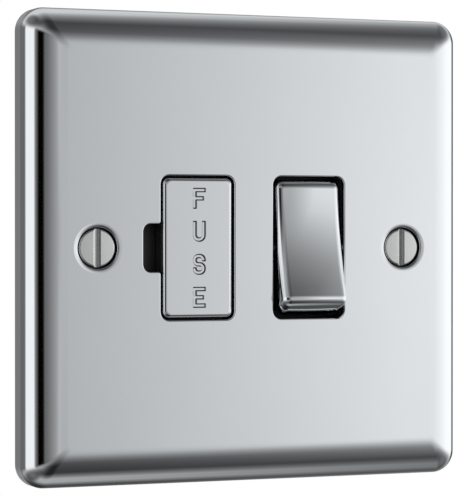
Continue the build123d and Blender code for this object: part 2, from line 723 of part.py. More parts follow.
with BuildPart() as live_fixed_contact:
    with BuildSketch(front_plane(strip_y + strip_thickness)):
        with Locations((pole_xs["live"], (contact_foot + link_z + strip_width / 2) / 2)):
            Rectangle(strip_width, link_z + strip_width / 2 - contact_foot)
        with BuildLine():
            Polyline(
                (pole_xs["live"], link_z),
                (partition_x, link_z),
                (partition_x, link_low_z),
                (fuse_x, link_low_z),
            )
        trace(line_width=strip_width)
    extrude(amount=strip_thickness)
pieces["live_fixed_contact"] = live_fixed_contact.part

# Silver tips on the fixed contacts
with BuildPart() as fixed_contact_tips:
    for pole_x in pole_xs.values():
        with BuildSketch(front_plane(strip_y)):
            with Locations((pole_x, tip_height)):
                Circle(tip_diameter / 2)
        extrude(amount=strip_y - fixed_tip_y)
pieces["fixed_contact_tips"] = fixed_contact_tips.part


def terminal(x, row):
    """Build a brass terminal block with a wire hole from the outer end and a screw hole from the rear."""
    with BuildPart() as block:
        with BuildSketch(front_plane(terminal_rear_y)):
            with Locations((x, row * terminal_z)):
                Rectangle(terminal_width, terminal_length)
        extrude(amount=terminal_depth)
        chamfer(block.edges().filter_by(Axis.Y), terminal_chamfer)
        with BuildSketch(Plane.XY.offset(row * (terminal_z + terminal_length / 2))):
            with Locations((x, wire_y)):
                Circle(wire_hole_diameter / 2)
        extrude(amount=-row * wire_hole_depth, mode=Mode.SUBTRACT)
        with BuildSketch(front_plane(terminal_rear_y)):
            with Locations((x, row * terminal_z)):
                Circle(terminal_screw_diameter / 2)
        extrude(amount=terminal_rear_y - wire_y, mode=Mode.SUBTRACT)
    return block.part


for name, (terminal_x, row) in terminals.items():
    pieces[name] = terminal(terminal_x, row)

# Terminal screws, down to the wire holes
with BuildPart() as terminal_screws:
    screw_spots = [(x, row * terminal_z) for x, row in terminals.values()]
    with BuildSketch(front_plane(terminal_rear_y)):
        with Locations(*screw_spots):
            Circle(terminal_screw_head_diameter / 2)
    extrude(amount=-terminal_screw_head_height)
    with BuildSketch(front_plane(terminal_rear_y)):
        with Locations(*screw_spots):
            Circle(terminal_screw_diameter / 2)
    extrude(amount=terminal_rear_y - wire_y - wire_hole_diameter / 2)
    with BuildSketch(front_plane(terminal_rear_y + terminal_screw_head_height)):
        with Locations(*screw_spots):
            Rectangle(terminal_screw_head_diameter, terminal_screw_slot)
    extrude(amount=terminal_screw_head_height / 2, mode=Mode.SUBTRACT)
pieces["terminal_screws"] = terminal_screws.part

# Earth bar: joins both earth terminals, with a tab forward to the plate
with BuildPart() as earth_bar:
    with BuildSketch(front_plane(earth_y + strip_thickness)):
        with Locations((partition_x, 0)):
            Rectangle(earth_bar_width, 2 * terminal_inner_z)
        with Locations((earth_jog_x, earth_jog_z)):
            Rectangle(earth_jog_length, earth_jog_width)
    extrude(amount=strip_thickness)
    with BuildSketch(front_plane(earth_y)):
        with Locations((partition_x, earth_tab_z)):
            Rectangle(earth_bar_width, earth_tab_thickness)
    extrude(amount=earth_y - inner_y)
pieces["earth_bar"] = earth_bar.part


def fuse_clip(row):
    """Build a fuse clip: a base and two sprung arms round a fuse end, flared at the mouth."""
    arm_front = fuse_y - fuse_diameter / 2 + clip_mouth
    with BuildPart() as clip:
        with BuildSketch(Plane.XY.offset(row * clip_z - clip_width / 2)):
            with BuildLine():
                mouth_x = clip_gap + clip_flare
                inner_outline = [
                    (fuse_x - mouth_x, arm_front),
                    (fuse_x - clip_gap, arm_front + clip_mouth),
                    (fuse_x - clip_gap, clip_base_y),
                    (fuse_x + clip_gap, clip_base_y),
                    (fuse_x + clip_gap, arm_front + clip_mouth),
                    (fuse_x + mouth_x, arm_front),
                ]
                Polyline(*inner_outline)
                offset(amount=clip_thickness, side=Side.LEFT)
            make_face()
        extrude(amount=clip_width)
        if row > 0:
            # The upper clip runs on to the load terminal
            with BuildSketch(front_plane(clip_base_y + clip_thickness)):
                with Locations((fuse_x, (clip_z + terminal_inner_z) / 2)):
                    Rectangle(strip_width, terminal_inner_z - clip_z)
            extrude(amount=clip_thickness)
        else:
            # The lower clip stands on the live strip, on a post that both of them meet
            with BuildSketch(front_plane(strip_y)):
                with Locations((fuse_x, (link_low_z - clip_z) / 2)):
                    Rectangle(strip_width, clip_thickness + abs(link_low_z + clip_z))
            extrude(amount=strip_y - clip_base_y)
    return clip.part


pieces["upper_fuse_clip"] = fuse_clip(1)
pieces["lower_fuse_clip"] = fuse_clip(-1)

# Plated cap of the fuse carrier: a shallow tray with rolled edges
with BuildPart() as fuse_carrier_cap:
    with BuildSketch(front_plane(cap_rear_y)):
        with Locations((fuse_x, 0)):
            RectangleRounded(cap_width, cap_height, aperture_corner_radius - cap_gap)
    extrude(amount=cap_depth)
    fillet(fuse_carrier_cap.faces().sort_by(Axis.Y)[0].edges(), cap_edge_roll)
    with BuildSketch(front_plane(cap_rear_y)):
        with Locations((fuse_x, 0)):
            Rectangle(cap_width - 2 * cap_wall, cap_height - 2 * cap_wall)
    extrude(amount=cap_depth - cap_wall, mode=Mode.SUBTRACT)
pieces["fuse_carrier_cap"] = fuse_carrier_cap.part

# Fuse carrier: plug behind the cap, jaws round the fuse barrel and four barbed rails
with BuildPart() as fuse_carrier:
    with BuildSketch(front_plane(cap_rear_y)):
        with Locations((fuse_x, 0)):
            Rectangle(
                cap_width - 2 * cap_wall - 2 * carrier_fit, cap_height - 2 * cap_wall - 2 * carrier_fit
            )
    extrude(amount=cap_depth - cap_wall)
    with BuildSketch(front_plane(carrier_rear_y)):
        with Locations((fuse_x, 0)):
            Rectangle(carrier_width, carrier_height)
    extrude(amount=carrier_rear_y - cap_rear_y)
    jaw_width = fuse_barrel_diameter + 2 * (fuse_fit + jaw_wall)
    with BuildSketch(front_plane(fuse_y + jaw_wrap)):
        with Locations((fuse_x, 0)):
            Rectangle(jaw_width, 2 * jaw_half_length)
    extrude(amount=fuse_y + jaw_wrap - carrier_rear_y)
    with BuildSketch(Plane.XY.offset(-fuse_length / 2)):
        with Locations((fuse_x, fuse_y)):
            Circle(fuse_barrel_diameter / 2 + fuse_fit)
    extrude(amount=fuse_length, mode=Mode.SUBTRACT)
    rail_x = (carrier_width - rail_width) / 2
    rail_z = (carrier_height - rail_thickness) / 2
    with BuildSketch(front_plane(rail_end_y)):
        with Locations((fuse_x, 0)):
            with GridLocations(2 * rail_x, 2 * rail_z, 2, 2):
                Rectangle(rail_width, rail_thickness)
    extrude(amount=rail_end_y - carrier_rear_y)
    with BuildSketch(front_plane(rail_end_y)):
        with Locations((fuse_x, 0)):
            with GridLocations(2 * rail_x, carrier_height, 2, 2):
                Rectangle(rail_width, 2 * barb_height)
    extrude(amount=barb_length)
    # Undercut for the screwdriver blade, open to the left behind the cap
    with BuildSketch(front_plane(carrier_rear_y - cap_wall)):
        with Locations((fuse_x - carrier_width / 2, 0)):
            Rectangle(2 * jaw_wall, notch_height)
    extrude(amount=carrier_rear_y - cap_wall - cap_rear_y, mode=Mode.SUBTRACT)
pieces["fuse_carrier"] = fuse_carrier.part

# Cartridge fuse: ceramic barrel with a metal cap pushed on each end
with BuildPart() as fuse_barrel:
    barrel_half = fuse_length / 2 - fuse_cap_wall
    with BuildSketch(Plane.XY.offset(-barrel_half)):
        with Locations((fuse_x, fuse_y)):
            Circle(fuse_barrel_diameter / 2)
    extrude(amount=2 * barrel_half)
    for row in (1, -1):
        neck_start = fuse_length / 2 - fuse_cap_length
        with BuildSketch(Plane.XY.offset(row * neck_start)):
            with Locations((fuse_x, fuse_y)):
                Circle(fuse_diameter / 2)
                Circle(fuse_diameter / 2 - fuse_cap_wall, mode=Mode.SUBTRACT)
        extrude(amount=row * fuse_cap_length, mode=Mode.SUBTRACT)
pieces["fuse_barrel"] = fuse_barrel.part

with BuildPart() as fuse_end_caps:
    for row in (1, -1):
        with BuildSketch(Plane.XY.offset(row * fuse_length / 2)):
            with Locations((fuse_x, fuse_y)):
                Circle(fuse_diameter / 2)
        extrude(amount=-row * fuse_cap_length)
        with BuildSketch(Plane.XY.offset(row * barrel_half)):
            with Locations((fuse_x, fuse_y)):
                Circle(fuse_diameter / 2 - fuse_cap_wall)
        extrude(amount=-row * (fuse_cap_length - fuse_cap_wall), mode=Mode.SUBTRACT)
pieces["fuse_end_caps"] = fuse_end_caps.part

os.makedirs("parts", exist_ok=True)
for name, piece in pieces.items():
    piece.label = name
    export_step(piece, f"parts/{name}.step")
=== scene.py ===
"""Dress the fused spur unit: polished plate, engraved cap, rocker, fasteners, mouldings and the studio."""
import json
import logging
import math
from dataclasses import dataclass
from enum import Enum
from typing import Callable, NamedTuple, Sequence

import bmesh
import bpy
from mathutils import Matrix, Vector
from mathutils.geometry import delaunay_2d_cdt

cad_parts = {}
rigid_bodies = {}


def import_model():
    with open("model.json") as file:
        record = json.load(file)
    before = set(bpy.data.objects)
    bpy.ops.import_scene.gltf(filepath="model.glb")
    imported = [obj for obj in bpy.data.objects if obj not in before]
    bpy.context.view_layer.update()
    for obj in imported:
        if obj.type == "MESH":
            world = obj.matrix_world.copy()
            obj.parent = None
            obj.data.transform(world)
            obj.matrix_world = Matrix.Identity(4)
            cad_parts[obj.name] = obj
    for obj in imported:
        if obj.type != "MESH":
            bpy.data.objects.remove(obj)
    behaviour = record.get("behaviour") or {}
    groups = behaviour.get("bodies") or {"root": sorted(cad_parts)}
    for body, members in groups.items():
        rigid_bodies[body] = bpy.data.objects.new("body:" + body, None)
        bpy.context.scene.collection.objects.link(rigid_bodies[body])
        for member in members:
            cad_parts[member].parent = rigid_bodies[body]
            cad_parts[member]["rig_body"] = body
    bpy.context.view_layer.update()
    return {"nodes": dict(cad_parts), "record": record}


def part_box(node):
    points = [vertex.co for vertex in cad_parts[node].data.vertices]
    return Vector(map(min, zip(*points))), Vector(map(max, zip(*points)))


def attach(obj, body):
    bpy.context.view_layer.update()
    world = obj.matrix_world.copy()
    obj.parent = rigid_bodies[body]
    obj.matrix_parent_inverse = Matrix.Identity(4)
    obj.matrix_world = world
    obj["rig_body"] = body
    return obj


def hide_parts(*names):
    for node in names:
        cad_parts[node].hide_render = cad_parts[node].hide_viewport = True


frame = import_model()
MM = 0.001
QUARTER = math.pi / 2
SMALL_ROUND = 32
FRONT = Vector((0, -1, 0))
REAR = Vector((0, 1, 0))
LOG = logging.getLogger("fused_spur_unit")
Triple = tuple[float, float, float]


class Corner(NamedTuple):
    """A point of a surface, in millimetres, and the surface's normal there."""

    point: Vector
    normal: Vector


class Rim(NamedTuple):
    """A point of an outline in the X-Z plane and the outline's outward normal there."""

    x: float
    z: float
    nx: float
    nz: float


class Shell:
    """A welded mesh in millimetres that keeps a chosen normal at every face corner."""

    WELD = 2e-4

    def __init__(self) -> None:
        """Start with no faces."""
        self.points: list[Vector] = []
        self.faces: list[list[int]] = []
        self.normals: list[list[Vector]] = []
        self._index: dict[tuple[int, ...], int] = {}

    def vertex(self, point: Vector) -> int:
        """Find or add a vertex.

        Args:
            point: its place.
        Returns:
            Its number, shared by points that lie together.
        """
        key = tuple(round(value / self.WELD) for value in point)
        if key not in self._index:
            self._index[key] = len(self.points)
            self.points.append(Vector(point))
        return self._index[key]

    def face(self, corners: Sequence[Corner]) -> None:
        """Add one face, turned so that it agrees with its normals.

        Args:
            corners: the face's corners in order, either way round.
        """
        numbered = [(self.vertex(corner.point), corner.normal) for corner in corners]
        kept = [item for place, item in enumerate(numbered) if item[0] != numbered[place - 1][0]]
        if len(kept) < 3:
            return
        turn = Vector()
        for place, item in enumerate(kept):
            turn += self.points[kept[place - 1][0]].cross(self.points[item[0]])
        if turn.dot(sum((item[1] for item in kept), Vector())) < 0:
            kept.reverse()
        self.faces.append([item[0] for item in kept])
        self.normals.append([item[1] for item in kept])

    def grid(self, rings: Sequence[Sequence[Corner]], closed: bool = True) -> None:
        """Join rows of corners with quads.

        Args:
            rings: rows with the same number of corners.
            closed: whether each row runs round to its own start.
        """
        for near, far in zip(rings, rings[1:]):
            for place in range(len(near) if closed else len(near) - 1):
                following = (place + 1) % len(near)
                self.face([near[place], near[following], far[following], far[place]])

    def fill(self, outer: Sequence[Vector], holes: Sequence[Sequence[Vector]], normal: Vector) -> None:
        """Fill a flat outline and leave its holes open.

        Args:
            outer: the outline.
            holes: the outlines of the holes.
            normal: the way that the filled face looks.
        """
        across = normal.orthogonal().normalized()
        upwards = normal.cross(across)

        def flat(point: Vector) -> Vector:
            """Give a point's place in the plane of the outline."""
            return Vector((point.dot(across), point.dot(upwards)))
        solid: list[Vector] = []
        edges: list[tuple[int, int]] = []
        for loop in (outer, *holes):
            start = len(solid)
            solid.extend(loop)
            edges.extend((start + place, start + (place + 1) % len(loop)) for place in range(len(loop)))
        gaps = [[flat(point) for point in hole] for hole in holes]
        found = delaunay_2d_cdt([flat(point) for point in solid], edges, [], 1, self.WELD)
        for triangle in found[2]:
            centre = sum((found[0][number] for number in triangle), Vector((0, 0))) / len(triangle)
            if any(encloses(gap, centre) for gap in gaps):
                continue
            self.face([Corner(solid[found[3][number][0]], normal) for number in triangle])

    def mesh(self, name: str, crease: float = 0.0) -> bpy.types.Mesh:
        """Make the mesh, in metres.

        Args:
            name: its name.
            crease: degrees above which an edge is sharp; 0 keeps the chosen normals instead.
        Returns:
            The mesh.
        """
        made = bpy.data.meshes.new(name)
        made.from_pydata([point * MM for point in self.points], [], self.faces)
        made.polygons.foreach_set("use_smooth", [True] * len(self.faces))
        if crease:
            made.set_sharp_from_angle(angle=math.radians(crease))
        else:
            made.normals_split_custom_set([normal for face in self.normals for normal in face])
        return made


def encloses(loop: Sequence[Vector], spot: Vector) -> bool:
    """Say whether a spot lies inside a flat outline.

    Args:
        loop: the outline.
        spot: the point to try.
    Returns:
        True where a ray from the spot crosses the outline an odd number of times.
    """
    inside = False
    for place, point in enumerate(loop):
        other = loop[place - 1]
        if (point.y > spot.y) != (other.y > spot.y):
            crossing = other.x + (spot.y - other.y) * (point.x - other.x) / (point.y - other.y)
            inside ^= spot.x < crossing
    return inside


def rounded_loop(corners: Sequence[Triple], swell: float = 0.0, steps: int = 8) -> list[Rim]:
    """Trace an outline of straight runs joined by arcs.

    Args:
        corners: x, z and radius of each corner, anticlockwise seen from the front.
        swell: how far the outline is moved outwards.
        steps: segments in each arc.
    Returns:
        The outline's points; their number doesn't depend on the swell.
    """
    loop: list[Rim] = []
    for place, (x, z, radius) in enumerate(corners):
        before = corners[place - 1]
        after = corners[(place + 1) % len(corners)]
        arriving = Vector((x - before[0], z - before[1])).normalized()
        leaving = Vector((after[0] - x, after[1] - z)).normalized()
        first = Vector((arriving.y, -arriving.x))
        last = Vector((leaving.y, -leaving.x))
        turn = math.atan2(arriving.x * leaving.y - arriving.y * leaving.x, arriving.dot(leaving))
        bulge = 1 if turn > 0 else -1
        reach = max(radius + bulge * swell, 0.0)
        middle = (first + last) / (1 + first.dot(last))
        centre = Vector((x, z)) + middle * (swell - bulge * reach)
        start = math.atan2(first.y, first.x)
        for step in range(steps + 1):
            angle = start + turn * step / steps
            nx, nz = math.cos(angle), math.sin(angle)
            loop.append(Rim(centre.x + bulge * reach * nx, centre.y + bulge * reach * nz, nx, nz))
    return loop


def rectangle(x: float, half_width: float, half_height: float, radius: float) -> list[Triple]:
    """List the corners of an upright rectangle centred at x on the X axis, for rounded_loop."""
    return [
        (x - half_width, -half_height, radius),
        (x + half_width, -half_height, radius),
        (x + half_width, half_height, radius),
        (x - half_width, half_height, radius),
    ]


def circle_loop(x: float, z: float, radius: float, steps: int = 64) -> list[Rim]:
    """Trace a circle.

    Args:
        x: centre.
        z: centre.
        radius: radius.
        steps: segments.
    Returns:
        The circle's points.
    """
    turns = [2 * math.pi * step / steps for step in range(steps)]
    return [Rim(x + radius * math.cos(t), z + radius * math.sin(t), math.cos(t), math.sin(t)) for t in turns]


def at_depth(loop: Sequence[Rim], y: float) -> list[Vector]:
    """Place an outline at a depth."""
    return [Vector((rim.x, y, rim.z)) for rim in loop]


Slice = tuple[list[Rim], float]
Section = Callable[[float], Slice]


def rolled(outline: Callable[[float], list[Rim]], reach: float, drop: float, front: float) -> Section:
    """Describe an edge that rolls through a quarter turn, from a flat face over to a straight wall.

    Args:
        outline: traces the edge for a distance from the wall.
        reach: how far the roll runs into the face.
        drop: how far it runs down the wall.
        front: depth of the face.
    Returns:
        The section for a share of the quarter turn.
    """
    def section(share: float) -> Slice:
        """Give the outline and depth at a share of the roll."""
        turn = share * QUARTER
        return outline(reach * (1 - math.sin(turn))), front + drop * (1 - math.cos(turn))
    return section


def straight(loop: list[Rim], top: float, bottom: float) -> Section:
    """Describe a straight wall on an outline between two depths."""
    return lambda share: (loop, top + share * (bottom - top))


def swept(section: Section, steps: int, side: int = 1, even: bool = False) -> list[list[Corner]]:
    """Sample a surface that carries an outline from the front to the rear.

    Args:
        section: gives the outline and its depth for a share of the way from 0 to 1.
        steps: how many strips are made.
        side: 1 where the solid lies inside the outline, -1 where it lies outside it.
        even: whether the corners are shaded with the slope of the straight sides, which blends their mitres.
    Returns:
        Rows of corners whose normals are worked out from the surface itself.
    """
    nudge = 1e-3
    rings: list[list[Corner]] = []
    for step in range(steps + 1):
        share = step / steps
        loop, y = section(share)
        before, before_y = section(share - nudge)
        after, after_y = section(share + nudge)
        fall = after_y - before_y
        runs = [(ahead.x - back.x) * rim.nx + (ahead.z - back.z) * rim.nz
                for rim, back, ahead in zip(loop, before, after)]
        ring: list[Corner] = []
        for rim, run in zip(loop, runs):
            normal = Vector((rim.nx * fall, -(runs[0] if even else run), rim.nz * fall)).normalized() * side
            ring.append(Corner(Vector((rim.x, y, rim.z)), normal))
        rings.append(ring)
    return rings


class Shade:
    """A node socket that takes part in Python arithmetic."""

    def __init__(self, tree: bpy.types.NodeTree, socket: bpy.types.NodeSocket | None = None) -> None:
        """Wrap a socket of a tree, or the bare tree."""
        self.tree = tree
        self.socket = socket

    def node(self, kind: str, settings: dict, sockets: dict, output: str = "") -> "Shade":
        """Add one node.

        Args:
            kind: Blender's name for the type of node.
            settings: what is set first; stops are a ramp's positions and colours.
            sockets: values and links, by a socket's identifier or name.
            output: identifier or name of the output; the first one if empty.
        Returns:
            The output.
        """
        made = self.tree.nodes.new(kind)
        for name, value in settings.items():
            if name == "stops":
                elements = made.color_ramp.elements
                while len(elements) < len(value):
                    elements.new(0.5)
                for element, (position, colour) in zip(elements, value):
                    element.position = position
                    element.color = colour
            else:
                setattr(made, name, value)
        for name, value in sockets.items():
            socket = next(item for item in made.inputs if name in (item.identifier, item.name))
            if isinstance(value, Shade):
                self.tree.links.new(value.socket, socket)
            else:
                socket.default_value = value
        named = [item for item in made.outputs if output in (item.identifier, item.name)]
        outputs = named or list(made.outputs)
        return Shade(self.tree, outputs[0] if outputs else None)

    def math(self, operation: str, *values: "Shade | float") -> "Shade":
        """Add a Math node that works on one or two values."""
        names = ("Value", "Value_001")
        return self.node("ShaderNodeMath", {"operation": operation}, dict(zip(names, values)))

    def __add__(self, other: "Shade | float") -> "Shade":
        """Add."""
        return self.math("ADD", self, other)

    __radd__ = __add__

    def __sub__(self, other: "Shade | float") -> "Shade":
        """Subtract."""
        return self.math("SUBTRACT", self, other)

    def __rsub__(self, other: "Shade | float") -> "Shade":
        """Subtract from a number."""
        return self.math("SUBTRACT", other, self)

    def __mul__(self, other: "Shade | float") -> "Shade":
        """Multiply."""
        return self.math("MULTIPLY", self, other)

    __rmul__ = __mul__

    def __truediv__(self, other: "Shade | float") -> "Shade":
        """Divide."""
        return self.math("DIVIDE", self, other)

    def __rtruediv__(self, other: "Shade | float") -> "Shade":
        """Divide a number."""
        return self.math("DIVIDE", other, self)

    def __pow__(self, other: "Shade | float") -> "Shade":
        """Raise to a power."""
        return self.math("POWER", self, other)

    def __rpow__(self, other: "Shade | float") -> "Shade":
        """Raise a number to this power."""
        return self.math("POWER", other, self)

    def between(self, low: "Shade | tuple", high: "Shade | tuple") -> "Shade":
        """Mix two colours by this value."""
        sockets = {"Factor_Float": self, "A_Color": low, "B_Color": high}
        return self.node("ShaderNodeMix", {"data_type": "RGBA"}, sockets, "Result_Color")

    def noise(self, scale: float, stretch: Triple = (1, 1, 1), detail: float = 2.0) -> "Shade":
        """Sample noise on the piece's own coordinates.

        Args:
            scale: grains in a metre.
            stretch: how much closer the grains lie along each axis.
            detail: octaves.
        Returns:
            A value about 0.5.
        """
        place = self.node("ShaderNodeTexCoord", {}, {}, "Object")
        spread = self.node("ShaderNodeMapping", {}, {"Vector": place, "Scale": stretch})
        return self.node("ShaderNodeTexNoise", {}, {"Vector": spread, "Scale": scale, "Detail": detail})

    def bump(self, strength: float, distance: float) -> "Shade":
        """Turn this height into a normal."""
        return self.node("ShaderNodeBump", {}, {"Strength": strength, "Distance": distance, "Height": self})


@dataclass(frozen=True)
class Finish:
    """A surface finish: its slot in the record and what every finish has."""

    slot: str
    colour: Triple
    roughness: float

    def paint(self, share: float = 1.0, lift: float = 0.0) -> tuple[float, ...]:
        """Give the colour with full alpha, darkened or brightened by a share and a lift."""
        return (*(min(value * share + lift, 1.0) for value in self.colour), 1.0)

    def sockets(self, shade: Shade) -> dict:
        """Work out the shader's sockets, in each kind of finish.

        Args:
            shade: the material's tree.
        Returns:
            Values and links by socket name.
        """
        raise NotImplementedError(self.slot)

    def material(self) -> bpy.types.Material:
        """Make the material once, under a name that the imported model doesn't use.

        Returns:
            The material, the same one at every call.
        """
        name = f"{self.slot}_finish"
        known = bpy.data.materials.get(name)
        if known:
            return known
        made = bpy.data.materials.new(name)
        made.use_nodes = True
        made.node_tree.nodes.clear()
        shade = Shade(made.node_tree)
        surface = shade.node("ShaderNodeBsdfPrincipled", {}, self.sockets(shade))
        shade.node("ShaderNodeOutputMaterial", {}, {"Surface": surface})
        return made


@dataclass(frozen=True)
class Polished(Finish):
    """Bright plating: a mirror with a faint uneven polish."""

    polish: float = 0.02
    clouds: float = 90.0
    cloud_share: float = 0.6
    fineness: float = 40.0
    dimming: float = 0.97

    def sockets(self, shade: Shade) -> dict:
        """Vary the roughness in soft clouds and the colour by a trace.

        Args:
            shade: the material's tree.
        Returns:
            Values and links by socket name.
        """
        cloud = shade.noise(self.clouds, detail=3.0)
        fine = shade.noise(self.clouds * self.fineness, detail=1.0)
        uneven = cloud * self.cloud_share + fine * (1 - self.cloud_share)
        return {
            "Base Color": cloud.between(self.paint(self.dimming), self.paint()),
            "Metallic": 1.0,
            "Roughness": self.roughness + uneven * self.polish,
        }


@dataclass(frozen=True)
class PaintedHollowShade(Polished):
    """Bright plating with painted shade in two like hollows, which darkens their colour; they are also left
    rougher, where no polishing wheel reaches.
    """

    spacing: float = 0.0603
    reach: float = 0.0041
    roundness: float = 1.0
    top: float = -0.0081
    floor: float = -0.0062
    # darkness: the share of the plating's colour kept in the hollows, which paints shade there
    darkness: float = 0.12
    dulling: float = 0.4

    def sockets(self, shade: Shade) -> dict:
        """Paint shade on what lies near the two places and between the two depths: darken its colour, and
        roughen it.

        Args:
            shade: the material's tree.
        Returns:
            Values and links by socket name.
        """
        bright = super().sockets(shade)
        place = shade.node("ShaderNodeTexCoord", {}, {}, "Object")
        x, y, z = (shade.node("ShaderNodeSeparateXYZ", {}, {"Vector": place}, axis) for axis in "XYZ")
        out = shade.math("ABSOLUTE", x) - self.spacing / 2
        near = shade.math("LESS_THAN", out * out + z * z * self.roundness, self.reach ** 2)
        depth = shade.math("GREATER_THAN", y, self.top) * shade.math("LESS_THAN", y, self.floor)
        hollow = near * depth
        # Painted shade: the colour in the hollow is darkened; the raised roughness stands for its dull,
        # unpolished surface
        return {
            **bright,
            "Base Color": hollow.between(bright["Base Color"], self.paint(self.darkness)),
            "Roughness": bright["Roughness"] + hollow * self.dulling,
        }


@dataclass(frozen=True)
class Brushed(Finish):
    """Turned or brushed steel with fine lines along one axis."""

    lines: Triple = (1.0, 1.0, 0.03)
    line_scale: float = 9000.0
    depth: float = 0.000012
    relief: float = 0.35
    stains: float = 500.0
    darkness: float = 0.82
    gloss_change: float = 0.22

    def sockets(self, shade: Shade) -> dict:
        """Cut fine lines into the surface and let them change the gloss.

        Args:
            shade: the material's tree.
        Returns:
            Values and links by socket name.
        """
        line = shade.noise(self.line_scale, self.lines, 3.0)
        stain = shade.noise(self.stains, detail=3.0)
        return {
            "Base Color": (line * 0.5 + stain * 0.5).between(self.paint(self.darkness), self.paint()),
            "Metallic": 1.0,
            "Roughness": self.roughness + (line - 0.5) * self.gloss_change,
            "Normal": line.bump(self.relief, self.depth),
        }


@dataclass(frozen=True)
class Moulded(Finish):
    """Matt plastic with the fine grain of a spark-eroded mould and softer flow clouds."""

    grain: float = 5200.0
    depth: float = 0.00003
    relief: float = 0.4
    flow: float = 140.0
    paleness: float = 1.35
    lift: float = 0.004
    grain_gloss: float = 0.18
    flow_gloss: float = 0.1

    def sockets(self, shade: Shade) -> dict:
        """Grain the surface and vary its gloss.

        Args:
            shade: the material's tree.
        Returns:
            Values and links by socket name.
        """
        grain = shade.noise(self.grain, detail=2.0)
        flow = shade.noise(self.flow, detail=3.0)
        return {
            "Base Color": flow.between(self.paint(), self.paint(self.paleness, self.lift)),
            "Roughness": self.roughness + (grain - 0.5) * self.grain_gloss + (flow - 0.5) * self.flow_gloss,
            "Normal": grain.bump(self.relief, self.depth),
        }


@dataclass(frozen=True)
class Tarnished(Finish):
    """Bare brass, copper alloy, silver or nickel with drawn lines and a little tarnish."""

    tarnish: Triple = (0.4, 0.25, 0.1)
    amount: float = 0.35
    patches: float = 420.0
    lines: Triple = (1.0, 1.0, 0.05)
    line_scale: float = 7000.0
    depth: float = 0.00001
    relief: float = 0.25
    patch_gloss: float = 0.16
    line_gloss: float = 0.1

    def sockets(self, shade: Shade) -> dict:
        """Darken the metal in patches and roughen it there.

        Args:
            shade: the material's tree.
        Returns:
            Values and links by socket name.
        """
        patch = shade.noise(self.patches, detail=4.0)
        drawn = shade.noise(self.line_scale, self.lines, 2.0)
        cover = (patch ** 2.0) * (2.0 * self.amount)
        return {
            "Base Color": cover.between(self.paint(), (*self.tarnish, 1)),
            "Metallic": 1.0,
            "Roughness": self.roughness + patch * self.patch_gloss + (drawn - 0.5) * self.line_gloss,
            "Normal": drawn.bump(self.relief, self.depth),
        }


@dataclass(frozen=True)
class Glazed(Finish):
    """Smooth pale nylon or glazed ceramic, faintly mottled."""

    coat: float = 0.0
    mottles: float = 700.0
    warmth: Triple = (0.95, 0.93, 0.88)
    gloss_change: float = 0.12

    def sockets(self, shade: Shade) -> dict:
        """Mottle the colour and the gloss.

        Args:
            shade: the material's tree.
        Returns:
            Values and links by socket name.
        """
        mottle = shade.noise(self.mottles, detail=3.0)
        warm = (*(value * share for value, share in zip(self.colour, self.warmth)), 1)
        return {
            "Base Color": mottle.between(warm, self.paint()),
            "Roughness": self.roughness + (mottle - 0.5) * self.gloss_change,
            "Coat Weight": self.coat,
        }


CHROME: Triple = (0.80, 0.83, 0.85)


class Finishes(Enum):
    """The finishes of the unit, one for each slot of the record."""

    # The plate's screw cups and the walls of the cap's engraved letters get painted shade: their finish
    # darkens the colour there.
    PLATE = PaintedHollowShade("polished_plate", CHROME, 0.03)
    CAP = PaintedHollowShade("polished_cap", CHROME, 0.03, spacing=0.022, reach=0.006, roundness=0.25, top=-0.00872,
               floor=-0.00844, darkness=0.25, dulling=0.15)
    ROCKER = Polished("polished_rocker", CHROME, 0.02)
    SCREW = Brushed("screw_steel", (0.80, 0.81, 0.81), 0.28)
    PLAIN_STEEL = Brushed("plain_steel", (0.55, 0.56, 0.57), 0.34, lines=(1.0, 0.2, 1.0), line_scale=5000.0)
    BLACK = Moulded("black_moulding", (0.018, 0.018, 0.02), 0.5)
    GREY = Moulded("grey_moulding", (0.095, 0.097, 0.105), 0.52)
    TERMINAL = Tarnished("terminal_brass", (0.78, 0.57, 0.25), 0.24, tarnish=(0.42, 0.27, 0.10))
    CONTACT = Tarnished("contact_brass", (0.80, 0.50, 0.30), 0.28, tarnish=(0.36, 0.19, 0.10))
    SILVER = Tarnished("contact_silver", (0.82, 0.81, 0.78), 0.3, tarnish=(0.42, 0.38, 0.30))
    NYLON = Glazed("white_nylon", (0.80, 0.79, 0.75), 0.4)
    CERAMIC = Glazed("fuse_ceramic", (0.86, 0.84, 0.79), 0.3, coat=0.5)
    NICKEL = Tarnished("fuse_plating", (0.72, 0.72, 0.70), 0.16, tarnish=(0.50, 0.47, 0.40), amount=0.2)


def finish_of(slot: str) -> Finish:
    """Find the finish of a slot of the record."""
    return next(item.value for item in Finishes if item.value.slot == slot)


def settle(mesh: bpy.types.Mesh, node: str, stands_for: bool = True) -> bpy.types.Object:
    """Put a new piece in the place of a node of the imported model, or beside it.

    Args:
        mesh: the piece's mesh, in the frame's own place.
        node: the node that the piece belongs to.
        stands_for: whether the piece hides the node.
    Returns:
        The piece, dressed in the node's finish and riding on the node's body.
    """
    piece = bpy.data.objects.new(mesh.name, mesh)
    bpy.context.scene.collection.objects.link(piece)
    slot = next(part["material_slot"] for part in frame["record"]["subparts"] if part["node"] == node)
    if not mesh.materials:
        mesh.materials.append(finish_of(slot).material())
    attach(piece, frame["nodes"][node]["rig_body"])
    if stands_for:
        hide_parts(node)
    LOG.info("%s: %d faces on %s", piece.name, len(mesh.polygons), piece["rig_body"])
    return piece


